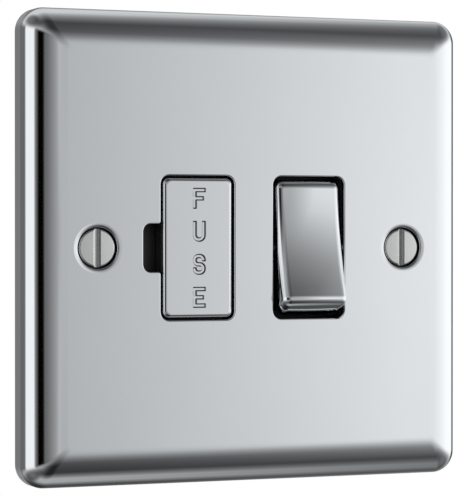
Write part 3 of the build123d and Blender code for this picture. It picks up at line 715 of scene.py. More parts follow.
@dataclass
class FrontPlate:
    """The pressed plate: a pillowed front, apertures, dished screw seats and weld studs."""

    sheet: float = 1.0
    edge_reach: float = 7.3
    edge_drop: float = 5.2
    corner_radius: float = 3.2
    mitre: float = 2.0
    rim_round: float = 0.2
    aperture_spacing: float = 22.0
    aperture_half_width: float = 7.15
    aperture_half_height: float = 13.125
    aperture_radius: float = 1.6
    aperture_edge: float = 0.25
    notch_width: float = 3.35
    notch_half_height: float = 4.325
    notch_radius: float = 1.4
    notch_throat: float = 0.5
    screw_spacing: float = 60.3
    dish_radius: float = 3.75
    dish_lip_width: float = 0.9
    dish_lip_depth: float = 0.28
    cup_radius: float = 5.0
    dish_floor: float = 2.35
    screw_hole: float = 2.2
    stud_radius: float = 1.28
    stud_length: float = 6.0
    stud_chamfer: float = 0.3
    stud_x: float = 18.0
    stud_z: float = 31.0
    edge_steps: int = 28
    corner_steps: int = 28
    lip_steps: int = 10
    rim_steps: int = 6

    def __post_init__(self) -> None:
        """Take the plate's width and depth from the frame."""
        low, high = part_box("front_plate")
        self.half: float = high.x / MM
        self.front: float = low.y / MM
        self.inner: float = self.front + self.sheet
        self.shell = Shell()

    def outline(self, inset: float, below: float = 0.0) -> list[Rim]:
        """Trace the plate's outline.

        Args:
            inset: how far inside the edge it runs.
            below: how far under the outer surface it lies.
        Returns:
            The outline; its corner radius shrinks to a soft mitre inwards.
        """
        half = self.half - below - inset
        left = self.corner_radius - below - inset
        soft = (left + math.sqrt(left * left + 4 * self.mitre * self.mitre)) / 2
        return rounded_loop(rectangle(0, half, half, soft), steps=self.corner_steps)

    def pillow(self, below: float = 0.0) -> Section:
        """Describe the rolled edge, from the flat face out to the side wall.

        Args:
            below: how far under the outer surface it lies.
        Returns:
            The section for a share of the quarter turn.
        """
        reach, drop = self.edge_reach - below, self.edge_drop - below
        return rolled(lambda inset: self.outline(inset, below), reach, drop, self.front + below)

    def fuse_outline(self, swell: float) -> list[Rim]:
        """Trace the fuse carrier's aperture with the notch at its left.

        Args:
            swell: how far the outline is moved outwards.
        Returns:
            The outline.
        """
        x = -self.aperture_spacing / 2
        left, right = x - self.aperture_half_width, x + self.aperture_half_width
        tall, low = self.aperture_half_height, self.notch_half_height
        corners = [
            (left, -tall, self.aperture_radius),
            (right, -tall, self.aperture_radius),
            (right, tall, self.aperture_radius),
            (left, tall, self.aperture_radius),
            (left, low, self.notch_throat),
            (left - self.notch_width, low, self.notch_radius),
            (left - self.notch_width, -low, self.notch_radius),
            (left, -low, self.notch_throat),
        ]
        return rounded_loop(corners, swell)

    def rocker_outline(self, swell: float) -> list[Rim]:
        """Trace the rocker's aperture."""
        size = (self.aperture_half_width, self.aperture_half_height, self.aperture_radius)
        return rounded_loop(rectangle(self.aperture_spacing / 2, *size), swell)

    def opening(self, outline: Callable[[float], list[Rim]], lip: float, drop: float, bottom: float) -> None:
        """Make the rounded edge and the wall of an opening.

        Args:
            outline: traces the opening for a swell.
            lip: how far the rounded edge spreads on the face.
            drop: how deep the rounded edge is.
            bottom: depth where the wall ends.
        """
        self.shell.grid(swept(rolled(outline, lip, drop, self.front), self.lip_steps, -1))
        self.tube(outline(0), self.front + drop, bottom, -1)

    def tube(self, loop: list[Rim], top: float, bottom: float, side: int) -> None:
        """Make a straight wall on an outline between two depths."""
        self.shell.grid(swept(straight(loop, top, bottom), 1, side))

    def outside(self) -> None:
        """Make the pillowed edge, the side wall and the rim."""
        def rim(share: float) -> Slice:
            """Give the outline and depth at a share of the rim's round."""
            turn = share * QUARTER
            return self.outline(self.rim_round * (1 - math.cos(turn))), self.rim_round * (math.sin(turn) - 1)
        self.shell.grid(swept(self.pillow(), self.edge_steps, even=True))
        self.tube(self.outline(0), self.front + self.edge_drop, -self.rim_round, 1)
        self.shell.grid(swept(rim, self.rim_steps))
        inner = at_depth(self.outline(0, self.sheet), 0)
        self.shell.fill(at_depth(self.outline(self.rim_round), 0), [inner], REAR)

    def inside(self) -> None:
        """Make the hollow behind the face, with the cups and studs on it."""
        hollow = self.pillow(self.sheet)
        self.shell.grid(swept(hollow, self.edge_steps // 2, -1, True))
        self.tube(self.outline(0, self.sheet), self.front + self.edge_drop, 0, -1)
        floor = self.front + self.dish_floor
        holes = [self.fuse_outline(0), self.rocker_outline(0)]
        for x in (-self.screw_spacing / 2, self.screw_spacing / 2):
            cup, dish, hole = (circle_loop(x, 0, radius)
                               for radius in (self.cup_radius, self.dish_radius, self.screw_hole))
            self.tube(cup, self.inner, floor + self.sheet, 1)
            self.tube(hole, floor, floor + self.sheet, -1)
            self.shell.fill(at_depth(cup, floor + self.sheet), [at_depth(hole, floor + self.sheet)], REAR)
            self.shell.fill(at_depth(dish, floor), [at_depth(hole, floor)], FRONT)
            holes.append(cup)
        for x in (-self.stud_x, self.stud_x):
            for z in (-self.stud_z, self.stud_z):
                self.stud(x, z)
                holes.append(circle_loop(x, z, self.stud_radius, SMALL_ROUND))
        face = at_depth(hollow(0)[0], self.inner)
        self.shell.fill(face, [at_depth(hole, self.inner) for hole in holes], REAR)

    def stud(self, x: float, z: float) -> None:
        """Make one weld stud with a chamfered end.

        Args:
            x: its place.
            z: its place.
        """
        end = self.inner + self.stud_length
        top = end - self.stud_chamfer

        def chamfer(share: float) -> Slice:
            """Give the outline and depth at a share of the chamfer."""
            radius = self.stud_radius - share * self.stud_chamfer
            return circle_loop(x, z, radius, SMALL_ROUND), top + share * (end - top)
        self.tube(chamfer(0)[0], self.inner, top, 1)
        self.shell.grid(swept(chamfer, 1))
        self.shell.fill(at_depth(chamfer(1)[0], end), [], REAR)

    def build(self) -> bpy.types.Object:
        """Build the plate.

        Returns:
            The piece that stands for the plate.
        """
        self.outside()
        self.inside()
        holes = [self.fuse_outline(self.aperture_edge), self.rocker_outline(self.aperture_edge)]
        for outline in (self.fuse_outline, self.rocker_outline):
            self.opening(outline, self.aperture_edge, self.aperture_edge, self.inner)
        for x in (-self.screw_spacing / 2, self.screw_spacing / 2):
            self.opening(lambda swell, x=x: circle_loop(x, 0, self.dish_radius + swell), self.dish_lip_width,
                         self.dish_lip_depth, self.front + self.dish_floor)
            holes.append(circle_loop(x, 0, self.dish_radius + self.dish_lip_width))
        face = at_depth(self.pillow()(0)[0], self.front)
        self.shell.fill(face, [at_depth(hole, self.front) for hole in holes], FRONT)
        return settle(self.shell.mesh("plate_shell"), "front_plate")


@dataclass
class FuseCap:
    """The plated cap of the fuse carrier: a shallow tray with rolled edges and one engraved word."""

    wall: float = 0.8
    corner_radius: float = 1.25
    corner_least: float = 1.0
    edge_reach: float = 0.8
    edge_drop: float = 1.0
    tray_radius: float = 0.1
    word: str = "FUSE"
    letter_width: float = 2.35
    letter_height: float = 3.6
    letter_arm: float = 2.0
    letter_pitch: float = 5.98
    letter_shift: float = 0.2
    stroke: float = 0.6
    stroke_end: float = 0.08
    engraving: float = 0.34
    engraving_slope: float = 0.26
    slope_steps: int = 10
    edge_steps: int = 14

    def __post_init__(self) -> None:
        """Take the cap's place from the frame."""
        low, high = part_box("fuse_carrier_cap")
        self.x: float = (low.x + high.x) / 2 / MM
        self.half_width: float = (high.x - low.x) / 2 / MM
        self.half_height: float = (high.z - low.z) / 2 / MM
        self.front: float = low.y / MM
        self.rear: float = high.y / MM
        self.shell = Shell()

    def outline(self, inset: float) -> list[Rim]:
        """Trace the cap's outline at an inset from its edge."""
        radius = max(self.corner_radius - inset, self.corner_least)
        return rounded_loop(rectangle(self.x, self.half_width - inset, self.half_height - inset, radius))

    def letter(self, name: str) -> list[Triple]:
        """List the corners of a plain block letter.

        Args:
            name: the letter.
        Returns:
            Corners measured from the letter's lower left, for rounded_loop.
        """
        wide, tall, arm, stroke = self.letter_width, self.letter_height, self.letter_arm, self.stroke
        end = self.stroke_end
        low, high, top, side = (tall - stroke) / 2, (tall + stroke) / 2, tall - stroke, wide - stroke
        bend = high / 2 - end / 4
        turn = wide / 2 - end / 4
        hook = bend + end + stroke / 10
        upper = [(stroke, low, end), (arm, low, end), (arm, high, end), (stroke, high, end),
                 (stroke, top, end), (wide, top, end), (wide, tall, end), (0, tall, end)]
        shapes = {
            "F": [(0, 0, end), (stroke, 0, end), *upper],
            "E": [(0, 0, end), (wide, 0, end), (wide, stroke, end), (stroke, stroke, end), *upper],
            "U": [(0, 0, turn), (wide, 0, turn), (wide, tall, end), (side, tall, end),
                  (side, stroke, turn - stroke), (stroke, stroke, turn - stroke), (stroke, tall, end),
                  (0, tall, end)],
            "S": [(0, 0, bend), (wide, 0, bend), (wide, high, bend), (stroke, high, bend - stroke),
                  (stroke, top, bend - stroke), (side, top, bend - stroke), (side, tall - hook, end),
                  (wide, tall - hook, end), (wide, tall, bend), (0, tall, bend), (0, low, bend),
                  (side, low, bend - stroke), (side, stroke, bend - stroke), (stroke, stroke, bend - stroke),
                  (stroke, hook, end), (0, hook, end)],
        }
        return shapes[name]

    def engrave(self) -> list[list[Rim]]:
        """Sink the word into the face, one letter below the other.

        Returns:
            The letters' outlines on the face.
        """
        outlines: list[list[Rim]] = []
        for place, name in enumerate(self.word):
            left = self.x + self.letter_shift - self.letter_width / 2
            foot = ((len(self.word) - 1) / 2 - place) * self.letter_pitch - self.letter_height / 2
            corners = [(left + x, foot + z, radius) for x, z, radius in self.letter(name)]

            def slope(share: float, corners: list[Triple] = corners) -> Slice:
                """Give the outline and depth at a share of the letter's sloping side."""
                fall = (1 - math.cos(math.pi * share)) / 2
                swell = self.engraving_slope * (0.5 - share)
                return rounded_loop(corners, swell), self.front + self.engraving * fall
            self.shell.grid(swept(slope, self.slope_steps, -1))
            self.shell.fill(at_depth(slope(1)[0], self.front + self.engraving), [], FRONT)
            outlines.append(slope(0)[0])
        return outlines

    def build(self) -> bpy.types.Object:
        """Build the cap.

        Returns:
            The piece that stands for the cap.
        """
        roll = rolled(self.outline, self.edge_reach, self.edge_drop, self.front)
        inner = rectangle(self.x, self.half_width - self.wall, self.half_height - self.wall, self.tray_radius)
        tray = rounded_loop(inner)
        floor = self.front + self.wall
        self.shell.grid(swept(roll, self.edge_steps))
        self.shell.grid(swept(straight(self.outline(0), self.front + self.edge_drop, self.rear), 1))
        self.shell.fill(at_depth(self.outline(0), self.rear), [at_depth(tray, self.rear)], REAR)
        self.shell.grid(swept(straight(tray, floor, self.rear), 1, -1))
        self.shell.fill(at_depth(tray, floor), [], REAR)
        letters = [at_depth(loop, self.front) for loop in self.engrave()]
        self.shell.fill(at_depth(roll(0)[0], self.front), letters, FRONT)
        return settle(self.shell.mesh("fuse_cap_plated"), "fuse_carrier_cap")


@dataclass
class Rocker:
    """The plated rocker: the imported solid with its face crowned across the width."""

    pivot_y: float = -4.9
    tilt: float = 10.5
    half_width: float = 6.5
    crown: float = 0.36
    crown_full: float = 3.7
    crown_end: float = 1.5
    cuts: int = 20
    weld: float = 1e-6
    cut_reach: float = 1e-7

    def __post_init__(self) -> None:
        """Find the pivot and the way to the rear, square to the tilted face."""
        low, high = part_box("rocker")
        self.pivot = Vector(((low.x + high.x) / 2, self.pivot_y * MM, 0))
        self.rear = Vector((0, math.cos(math.radians(self.tilt)), -math.sin(math.radians(self.tilt))))

    def fade(self, place: Vector) -> float:
        """Give the share of the crown at a place measured from the pivot: 1 at the face, 0 at the skirt."""
        ahead = -place.dot(self.rear) / MM
        return min(max((ahead - self.crown_end) / (self.crown_full - self.crown_end), 0.0), 1.0)

    def drop(self, place: Vector) -> Vector:
        """Work out how far back a place is drawn, in metres."""
        return self.rear * self.crown * MM * (place.x / MM / self.half_width) ** 2 * self.fade(place)

    def lean(self, place: Vector, normal: Vector) -> Vector:
        """Turn a normal as the crown turns the surface at its place."""
        slope = 2 * self.crown * place.x / MM / self.half_width ** 2 * self.fade(place)
        return (normal - Vector((slope, 0, 0)) * self.rear.dot(normal)).normalized()

    def build(self) -> bpy.types.Object:
        """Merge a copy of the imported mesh, cut it across the width and crown it.

        Returns:
            The piece that stands for the rocker.
        """
        packed = frame["nodes"]["rocker"].data
        work = bmesh.new()
        work.from_mesh(packed)
        kept = work.loops.layers.float_vector.new("packed_normal")
        for face, polygon in zip(work.faces, packed.polygons):
            for loop, number in zip(face.loops, polygon.loop_indices):
                loop[kept] = packed.corner_normals[number].vector
        bmesh.ops.remove_doubles(work, verts=work.verts, dist=self.weld)
        for cut in range(1, self.cuts):
            across = self.pivot.x + self.half_width * MM * (2 * cut / self.cuts - 1)
            everything = [*work.verts, *work.edges, *work.faces]
            bmesh.ops.bisect_plane(work, geom=everything, plane_co=(across, 0, 0), plane_no=(1, 0, 0),
                                   dist=self.cut_reach)
        loops = [loop for face in work.faces for loop in face.loops]
        normals = [self.lean(loop.vert.co - self.pivot, loop[kept]) for loop in loops]
        for vertex in work.verts:
            vertex.co += self.drop(vertex.co - self.pivot)
        work.loops.layers.float_vector.remove(kept)
        made = bpy.data.meshes.new("rocker_crowned")
        work.to_mesh(made)
        work.free()
        made.polygons.foreach_set("use_smooth", [True] * len(made.polygons))
        made.normals_split_custom_set(normals)
        return settle(made, "rocker")


class Looks(Enum):
    """The way that a fastener's head looks, as its turn about Z."""

    FORWARD = 0.0
    BACKWARD = math.pi


@dataclass(frozen=True)
class Thread:
    """A screw thread wound along +Y: its core, its ridge and where it runs, from the seat."""

    core: float
    ridge: float
    pitch: float
    start: float
    length: float


class Pattern:
    """A Geometry Nodes tree that sets a fastener on every seat and winds the thread on its shank."""

    INPUTS = {
        "Seats": "Geometry", "Fastener": "Object", "Finish": "Material", "Thread Core": "Float",
        "Thread Ridge": "Float", "Thread Turns": "Float", "Thread Start": "Float", "Thread Length": "Float",
        "Turn From": "Vector", "Turn To": "Vector", "Seed": "Int",
    }
    WINDING_STEPS = 14
    RIDGE_SIDES = 4

    def __init__(self) -> None:
        """Make the tree's inputs, once for all the fasteners."""
        self.tree = bpy.data.node_groups.new("fastener_pattern", "GeometryNodeTree")
        face = self.tree.interface
        face.new_socket("Geometry", in_out="OUTPUT", socket_type="NodeSocketGeometry")
        for name, kind in self.INPUTS.items():
            face.new_socket(name, in_out="INPUT", socket_type=f"NodeSocket{kind}")
        self.lay()

    def lay(self) -> None:
        """Lay the nodes: fastener and thread, instances on the seats, plain mesh, finish."""
        shade = Shade(self.tree)
        given = self.tree.nodes.new("NodeGroupInput")
        value = {socket.name: Shade(self.tree, socket) for socket in given.outputs}
        body = shade.node("GeometryNodeObjectInfo", {}, {"Object": value["Fastener"]}, "Geometry")
        coil = shade.node("GeometryNodeCurveSpiral", {}, {
            "Resolution": self.WINDING_STEPS,
            "Rotations": value["Thread Turns"],
            "Start Radius": value["Thread Core"],
            "End Radius": value["Thread Core"],
            "Height": value["Thread Length"],
        })
        start = shade.node("ShaderNodeCombineXYZ", {}, {"Y": value["Thread Start"]})
        turned = {"Geometry": coil, "Translation": start, "Rotation": (-QUARTER, 0, 0)}
        laid = shade.node("GeometryNodeTransform", {}, turned)
        section = {"Resolution": self.RIDGE_SIDES, "Radius": value["Thread Ridge"]}
        ridge = shade.node("GeometryNodeCurvePrimitiveCircle", {}, section)
        winding = {"Curve": laid, "Profile Curve": ridge, "Fill Caps": True}
        thread = shade.node("GeometryNodeCurveToMesh", {}, winding)
        whole = shade.node("GeometryNodeJoinGeometry", {}, {"Geometry": thread})
        self.tree.links.new(body.socket, whole.socket.node.inputs["Geometry"])
        range_of_turn = {"Min": value["Turn From"], "Max": value["Turn To"], "Seed": value["Seed"]}
        turn = shade.node("FunctionNodeRandomValue", {"data_type": "FLOAT_VECTOR"}, range_of_turn)
        seated = {"Points": value["Seats"], "Instance": whole, "Rotation": turn}
        copies = shade.node("GeometryNodeInstanceOnPoints", {}, seated)
        plain = shade.node("GeometryNodeRealizeInstances", {}, {"Geometry": copies})
        dressed = shade.node("GeometryNodeSetMaterial", {}, {"Geometry": plain, "Material": value["Finish"]})
        shade.node("NodeGroupOutput", {}, {"Geometry": dressed})

    def run(self, body: bpy.types.Mesh, seats: Sequence[Vector], thread: Thread, finish: Finish,
            looks: Looks = Looks.FORWARD, turn: float = 0.0, spread: float = 0.0,
            seed: int = 0) -> bpy.types.Mesh:
        """Run the tree and keep its result as a plain mesh.

        Args:
            body: one fastener with its seat at the origin; its name goes to the result.
            seats: where the fasteners bear, in millimetres.
            thread: what is wound on its shank.
            finish: what it is dressed in.
            looks: the way its head looks.
            turn: the turn of its slot about its own axis.
            spread: how far that turn differs from one to the next.
            seed: what the differences are drawn from.
        Returns:
            The mesh of all the fasteners.
        """
        points = bpy.data.meshes.new("seats")
        points.from_pydata([seat * MM for seat in seats], [], [])
        holder = bpy.data.objects.new("seats", points)
        model = bpy.data.objects.new("fastener", body)
        for item in (holder, model):
            bpy.context.scene.collection.objects.link(item)
        inputs = {
            "Fastener": model,
            "Finish": finish.material(),
            "Thread Core": thread.core * MM,
            "Thread Ridge": thread.ridge * MM,
            "Thread Turns": thread.length / thread.pitch,
            "Thread Start": thread.start * MM,
            "Thread Length": thread.length * MM,
            "Turn From": (0, turn - spread, looks.value),
            "Turn To": (0, turn + spread, looks.value),
            "Seed": seed,
        }
        modifier = holder.modifiers.new("pattern", "NODES")
        modifier.node_group = self.tree
        for socket in self.tree.interface.items_tree:
            if socket.in_out == "INPUT" and socket.name in inputs:
                modifier[socket.identifier] = inputs[socket.name]
        seen = holder.evaluated_get(bpy.context.evaluated_depsgraph_get())
        made = bpy.data.meshes.new_from_object(seen)
        holder.modifiers.remove(modifier)
        name = body.name
        for item in (holder, model):
            mesh = item.data
            bpy.data.objects.remove(item)
            bpy.data.meshes.remove(mesh)
        made.name = name
        made.materials.clear()
        made.materials.append(finish.material())
        return made


@dataclass
class SlottedScrew:
    """One screw with a rounded, slotted head: its seat is at the origin, its thread runs along +Y."""

    head_radius: float
    head_height: float
    slot_width: float
    slot_depth: float
    edge_width: float
    edge_drop: float
    neck_radius: float
    neck_length: float
    core_radius: float
    length: float
    bevel_width: float = 0.0
    bevel_depth: float = 0.1
    point: float = 0.5
    arc_steps: int = 24
    edge_steps: int = 6
    crease: float = 24.0
    rear_lean: float = 0.01

    def half_slot(self, y: float) -> float:
        """Give half the slot's width at a depth: it widens through the bevel up to the face."""
        widening = max(1 - (y + self.head_height) / self.bevel_depth, 0.0)
        return self.slot_width / 2 + self.bevel_width * widening

    def half_ring(self, radius: float, y: float, side: int) -> list[Vector]:
        """Trace the part of a circle that lies on one side of the slot.

        Args:
            radius: the circle's radius.
            y: its depth.
            side: 1 to the right of the slot, -1 to the left.
        Returns:
            Points from the slot's lower end to its upper end.
        """
        reach = math.acos(self.half_slot(y) / radius)
        turns = [reach * (2 * step / self.arc_steps - 1) for step in range(self.arc_steps + 1)]
        return [Vector((side * radius * math.cos(turn), y, radius * math.sin(turn))) for turn in turns]

    def edge(self) -> list[tuple[float, float]]:
        """Describe the head's edge.

        Returns:
            Radius and depth at each step round the edge, and down at the slot's floor.
        """
        turns = [step / self.edge_steps * QUARTER for step in range(self.edge_steps + 1)]
        top, flat = -self.head_height, self.head_radius - self.edge_width
        wide, drop = self.edge_width, self.edge_drop
        rounded = [(flat + wide * math.sin(turn), top + drop * (1 - math.cos(turn))) for turn in turns]
        return [*rounded, (self.head_radius, top + self.slot_depth)]

    def head(self, shell: Shell) -> None:
        """Make the head: two halves of the face, the slot between them and the round side.

        Args:
            shell: the mesh that it is added to.
        """
        ends: list[Vector] = []
        ring: list[Vector] = []
        for side in (1, -1):
            rows = [self.half_ring(radius, y, side) for radius, y in self.edge()]
            shell.fill(rows[0], [], FRONT)
            bulging = [[Corner(point, Vector((point.x, -1, point.z))) for point in row] for row in rows]
            shell.grid(bulging, False)
            inwards = Vector((-side, 0, 0))
            shell.grid([[Corner(row[0], inwards), Corner(row[-1], inwards)] for row in rows], False)
            around = rows[-1][::side]
            ends += [around[0], around[-1]]
            ring += around
        shell.face([Corner(point, FRONT) for point in ends])
        foot = [Vector((point.x, 0, point.z)) for point in ring]
        shell.grid([[Corner(point, Vector((point.x, 0, point.z))) for point in row] for row in (ring, foot)])
        shell.fill(foot, [at_depth(circle_loop(0, 0, self.neck_radius, SMALL_ROUND), 0)], REAR)

    def thread(self, ridge: float, pitch: float, start: float, bare_end: float) -> Thread:
        """Describe a thread on the shank, clear of the head and of the point."""
        return Thread(self.core_radius, ridge, pitch, start, self.length - start - bare_end)

    def mesh(self, name: str) -> bpy.types.Mesh:
        """Build the screw.

        Args:
            name: the mesh's name.
        Returns:
            The mesh of one screw, without its thread.
        """
        shell = Shell()
        self.head(shell)
        profile = [
            (self.neck_radius, 0),
            (self.neck_radius, self.neck_length),
            (self.core_radius, self.neck_length),
            (self.core_radius, self.length - self.point),
            (self.core_radius - self.point / 2, self.length),
        ]
        rings = [at_depth(circle_loop(0, 0, radius, SMALL_ROUND), y) for radius, y in profile]
        lean = self.rear_lean
        shell.grid([[Corner(point, Vector((point.x, lean, point.z))) for point in ring] for ring in rings])
        shell.fill(rings[-1], [], REAR)
        return shell.mesh(name, self.crease)


@dataclass
class HexagonNut:
    """One hexagon nut with both ends chamfered, its front end at the origin."""

    across_flats: float
    height: float
    bore_radius: float
    chamfer_slope: float = 0.5
    face_share: float = 0.98
    side_steps: int = 10
    crease: float = 25.0

    def mesh(self, name: str) -> bpy.types.Mesh:
        """Build the nut.

        Args:
            name: the mesh's name.
        Returns:
            The mesh of one nut.
        """
        shell = Shell()
        flat = self.across_flats / 2
        face_loops: list[list[Vector]] = [[], []]
        for side in range(6):
            middle = side * math.pi / 3
            shares = [step / self.side_steps - 0.5 for step in range(self.side_steps + 1)]
            turns = [middle + share * math.pi / 3 for share in shares]
            reach = [flat / math.cos(turn - middle) for turn in turns]
            rows: list[list[Vector]] = []
            for on_side, at_rear in ((False, False), (True, False), (True, True), (False, True)):
                row: list[Vector] = []
                for turn, out in zip(turns, reach):
                    drop = (out - flat) * self.chamfer_slope if on_side else 0.0
                    radius = out if on_side else flat * self.face_share
                    y = self.height - drop if at_rear else drop
                    row.append(Vector((radius * math.cos(turn), y, radius * math.sin(turn))))
                rows.append(row)
            outwards = Vector((math.cos(middle), 0, math.sin(middle)))
            shell.grid([[Corner(point, outwards) for point in row] for row in rows], False)
            face_loops[0] += rows[0][:-1]
            face_loops[1] += rows[-1][:-1]
        bore = circle_loop(0, 0, self.bore_radius, SMALL_ROUND)
        rings = [at_depth(bore, y) for y in (0, self.height)]
        for loop, ring, way in zip(face_loops, rings, (FRONT, REAR)):
            shell.fill(loop, [ring], way)
        shell.grid([[Corner(point, Vector((-point.x, 0, -point.z))) for point in ring] for ring in rings])
        return shell.mesh(name, self.crease)


@dataclass
class Fasteners:
    """Every screw and nut of the unit, set out on its seats."""

    pattern: Pattern
    fixing_reach: float = 3.7
    fixing_head: float = 3.45
    fixing_height: float = 1.9
    cover_head: float = 2.1
    cover_height: float = 1.4
    terminal_head: float = 2.3
    terminal_height: float = 2.2
    nut_across_flats: float = 5.5
    nut_bore: float = 1.52
    nut_groove: float = 0.02
    nut_margin: float = 0.2
    stud_core: float = FrontPlate.stud_radius
    stud_thread: float = 1.5
    stud_pitch: float = 0.5
    stud_thread_start: float = -1.6
    stud_thread_length: float = 5.0

    def corners(self, node: str, reach_x: float, reach_z: float, y: float) -> list[Vector]:
        """Find the seats of a symmetrical group from its box.

        Args:
            node: the group's node.
            reach_x: how far one fastener reaches to the side of its axis.
            reach_z: how far it reaches above its axis.
            y: depth of the seats.
        Returns:
            The seats, with none given twice.
        """
        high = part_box(node)[1] / MM
        x, z = high.x - reach_x, high.z - reach_z
        spots = sorted({(round(side * x, 2), round(row * z, 2)) for side in (-1, 1) for row in (-1, 1)})
        return [Vector((spot_x, y, spot_z)) for spot_x, spot_z in spots]

    def fixing_screws(self) -> None:
        """Set out the two screws that hold the unit to its box."""
        low, high = (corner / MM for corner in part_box("fixing_screws"))
        length = high.y - low.y - self.fixing_height
        screw = SlottedScrew(self.fixing_head, self.fixing_height, slot_width=0.8, slot_depth=0.95,
                             edge_width=0.45, edge_drop=0.3, neck_radius=1.5, neck_length=1.6,
                             core_radius=1.42, length=length, bevel_width=0.3, bevel_depth=0.16)
        thread = screw.thread(ridge=0.33, pitch=0.6, start=1.8, bare_end=0.6)
        reach = self.fixing_reach
        seats = self.corners("fixing_screws", reach, reach, low.y + self.fixing_height)
        made = self.pattern.run(screw.mesh("slotted_fixing_screws"), seats, thread, Finishes.SCREW.value)
        settle(made, "fixing_screws")

    def cover_screws(self) -> None:
        """Set out the four screws of the rear cover."""
        low, high = (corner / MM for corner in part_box("cover_screws"))
        length = high.y - low.y - self.cover_height
        screw = SlottedScrew(self.cover_head, self.cover_height, slot_width=0.6, slot_depth=0.7,
                             edge_width=0.5, edge_drop=0.5, neck_radius=0.86, neck_length=0.0,
                             core_radius=0.86, length=length)
        thread = screw.thread(ridge=0.24, pitch=0.7, start=0.4, bare_end=0.8)
        seats = self.corners("cover_screws", self.cover_head, self.cover_head, high.y - self.cover_height)
        made = self.pattern.run(screw.mesh("slotted_cover_screws"), seats, thread,
                                Finishes.PLAIN_STEEL.value, Looks.BACKWARD, turn=QUARTER, spread=0.5, seed=3)
        settle(made, "cover_screws")

    def terminal_screws(self) -> None:
        """Set out the six screws that clamp the wires, one on each terminal."""
        low, high = (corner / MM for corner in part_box("terminal_screws"))
        length = high.y - low.y - self.terminal_height
        screw = SlottedScrew(self.terminal_head, self.terminal_height, slot_width=0.8, slot_depth=1.1,
                             edge_width=0.3, edge_drop=0.3, neck_radius=1.1, neck_length=0.0,
                             core_radius=1.1, length=length)
        thread = screw.thread(ridge=0.28, pitch=0.5, start=0.2, bare_end=0.6)
        seats: list[Vector] = []
        for node in sorted(frame["nodes"]):
            if node.endswith("_terminal"):
                near, far = (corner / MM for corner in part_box(node))
                seats.append(Vector(((near.x + far.x) / 2, far.y, (near.z + far.z) / 2)))
        made = self.pattern.run(screw.mesh("slotted_terminal_screws"), seats, thread,
                                Finishes.PLAIN_STEEL.value, Looks.BACKWARD, turn=QUARTER, spread=0.6, seed=8)
        settle(made, "terminal_screws")

    def stud_nuts(self) -> None:
        """Set out the nuts, and wind the threads of the studs that they are on."""
        low, high = (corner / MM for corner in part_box("stud_nuts"))
        nut = HexagonNut(self.nut_across_flats, high.y - low.y, self.nut_bore)
        corner = self.nut_across_flats / math.sqrt(3)
        seats = self.corners("stud_nuts", corner, self.nut_across_flats / 2, low.y)
        groove = Thread(self.nut_bore, self.nut_groove, self.stud_pitch, self.nut_margin,
                        high.y - low.y - 2 * self.nut_margin)
        made = self.pattern.run(nut.mesh("hexagon_stud_nuts"), seats, groove, Finishes.PLAIN_STEEL.value)
        settle(made, "stud_nuts")
        thread = Thread(self.stud_core, self.stud_thread - self.stud_core, self.stud_pitch,
                        self.stud_thread_start, self.stud_thread_length)
        wound = self.pattern.run(Shell().mesh("stud_threads"), seats, thread, Finishes.PLATE.value)
        settle(wound, "front_plate", False)

    def build(self) -> None:
        """Set all of them out."""
        self.fixing_screws()
        self.cover_screws()
        self.terminal_screws()
        self.stud_nuts()


@dataclass(frozen=True)
class Panel:
    """A stretch of the surround in one grey; its ends are degrees from straight ahead of the plate."""

    start: float
    end: float
    grey: float


class Sides(Enum):
    """What stands round the unit, from behind it on the left to behind it on the right."""

    BACK_WALL_LEFT = Panel(-180, -170, 0.6)
    DARK_CORNER_LEFT = Panel(-160, -115, 0.4)
    SOFT_BOX = Panel(-105, -68, 0.95)
    DIM_SCREEN = Panel(-60, -30, 0.4)
    FRONT_WALL = Panel(5, 18, 0.7)
    SIDE_WALL = Panel(27, 40, 0.9)
    WINDOW = Panel(80, 112, 1.0)
    DARK_CORNER_RIGHT = Panel(122, 155, 0.25)
    BACK_WALL_RIGHT = Panel(170, 180, 0.6)


class Overhead(Enum):
    """What hangs above the unit, from straight ahead to straight behind."""

    FRONT_WALL = Panel(0, 5, 0.7)
    DARK_CEILING = Panel(40, 62, 0.2)
    CEILING_LAMP = Panel(102, 130, 0.8)
    DARK_EDGE = Panel(145, 155, 0.4)
    BACK_WALL = Panel(165, 180, 0.6)


class Below(Enum):
    """What lies below the unit, from straight ahead to straight behind."""

    FRONT_WALL = Panel(0, 5, 0.7)
    DARK_BENCH = Panel(38, 60, 0.15)
    BENCH_LIGHT = Panel(80, 95, 0.65)
    DARK_EDGE = Panel(120, 150, 0.2)
    BACK_WALL = Panel(165, 180, 0.6)


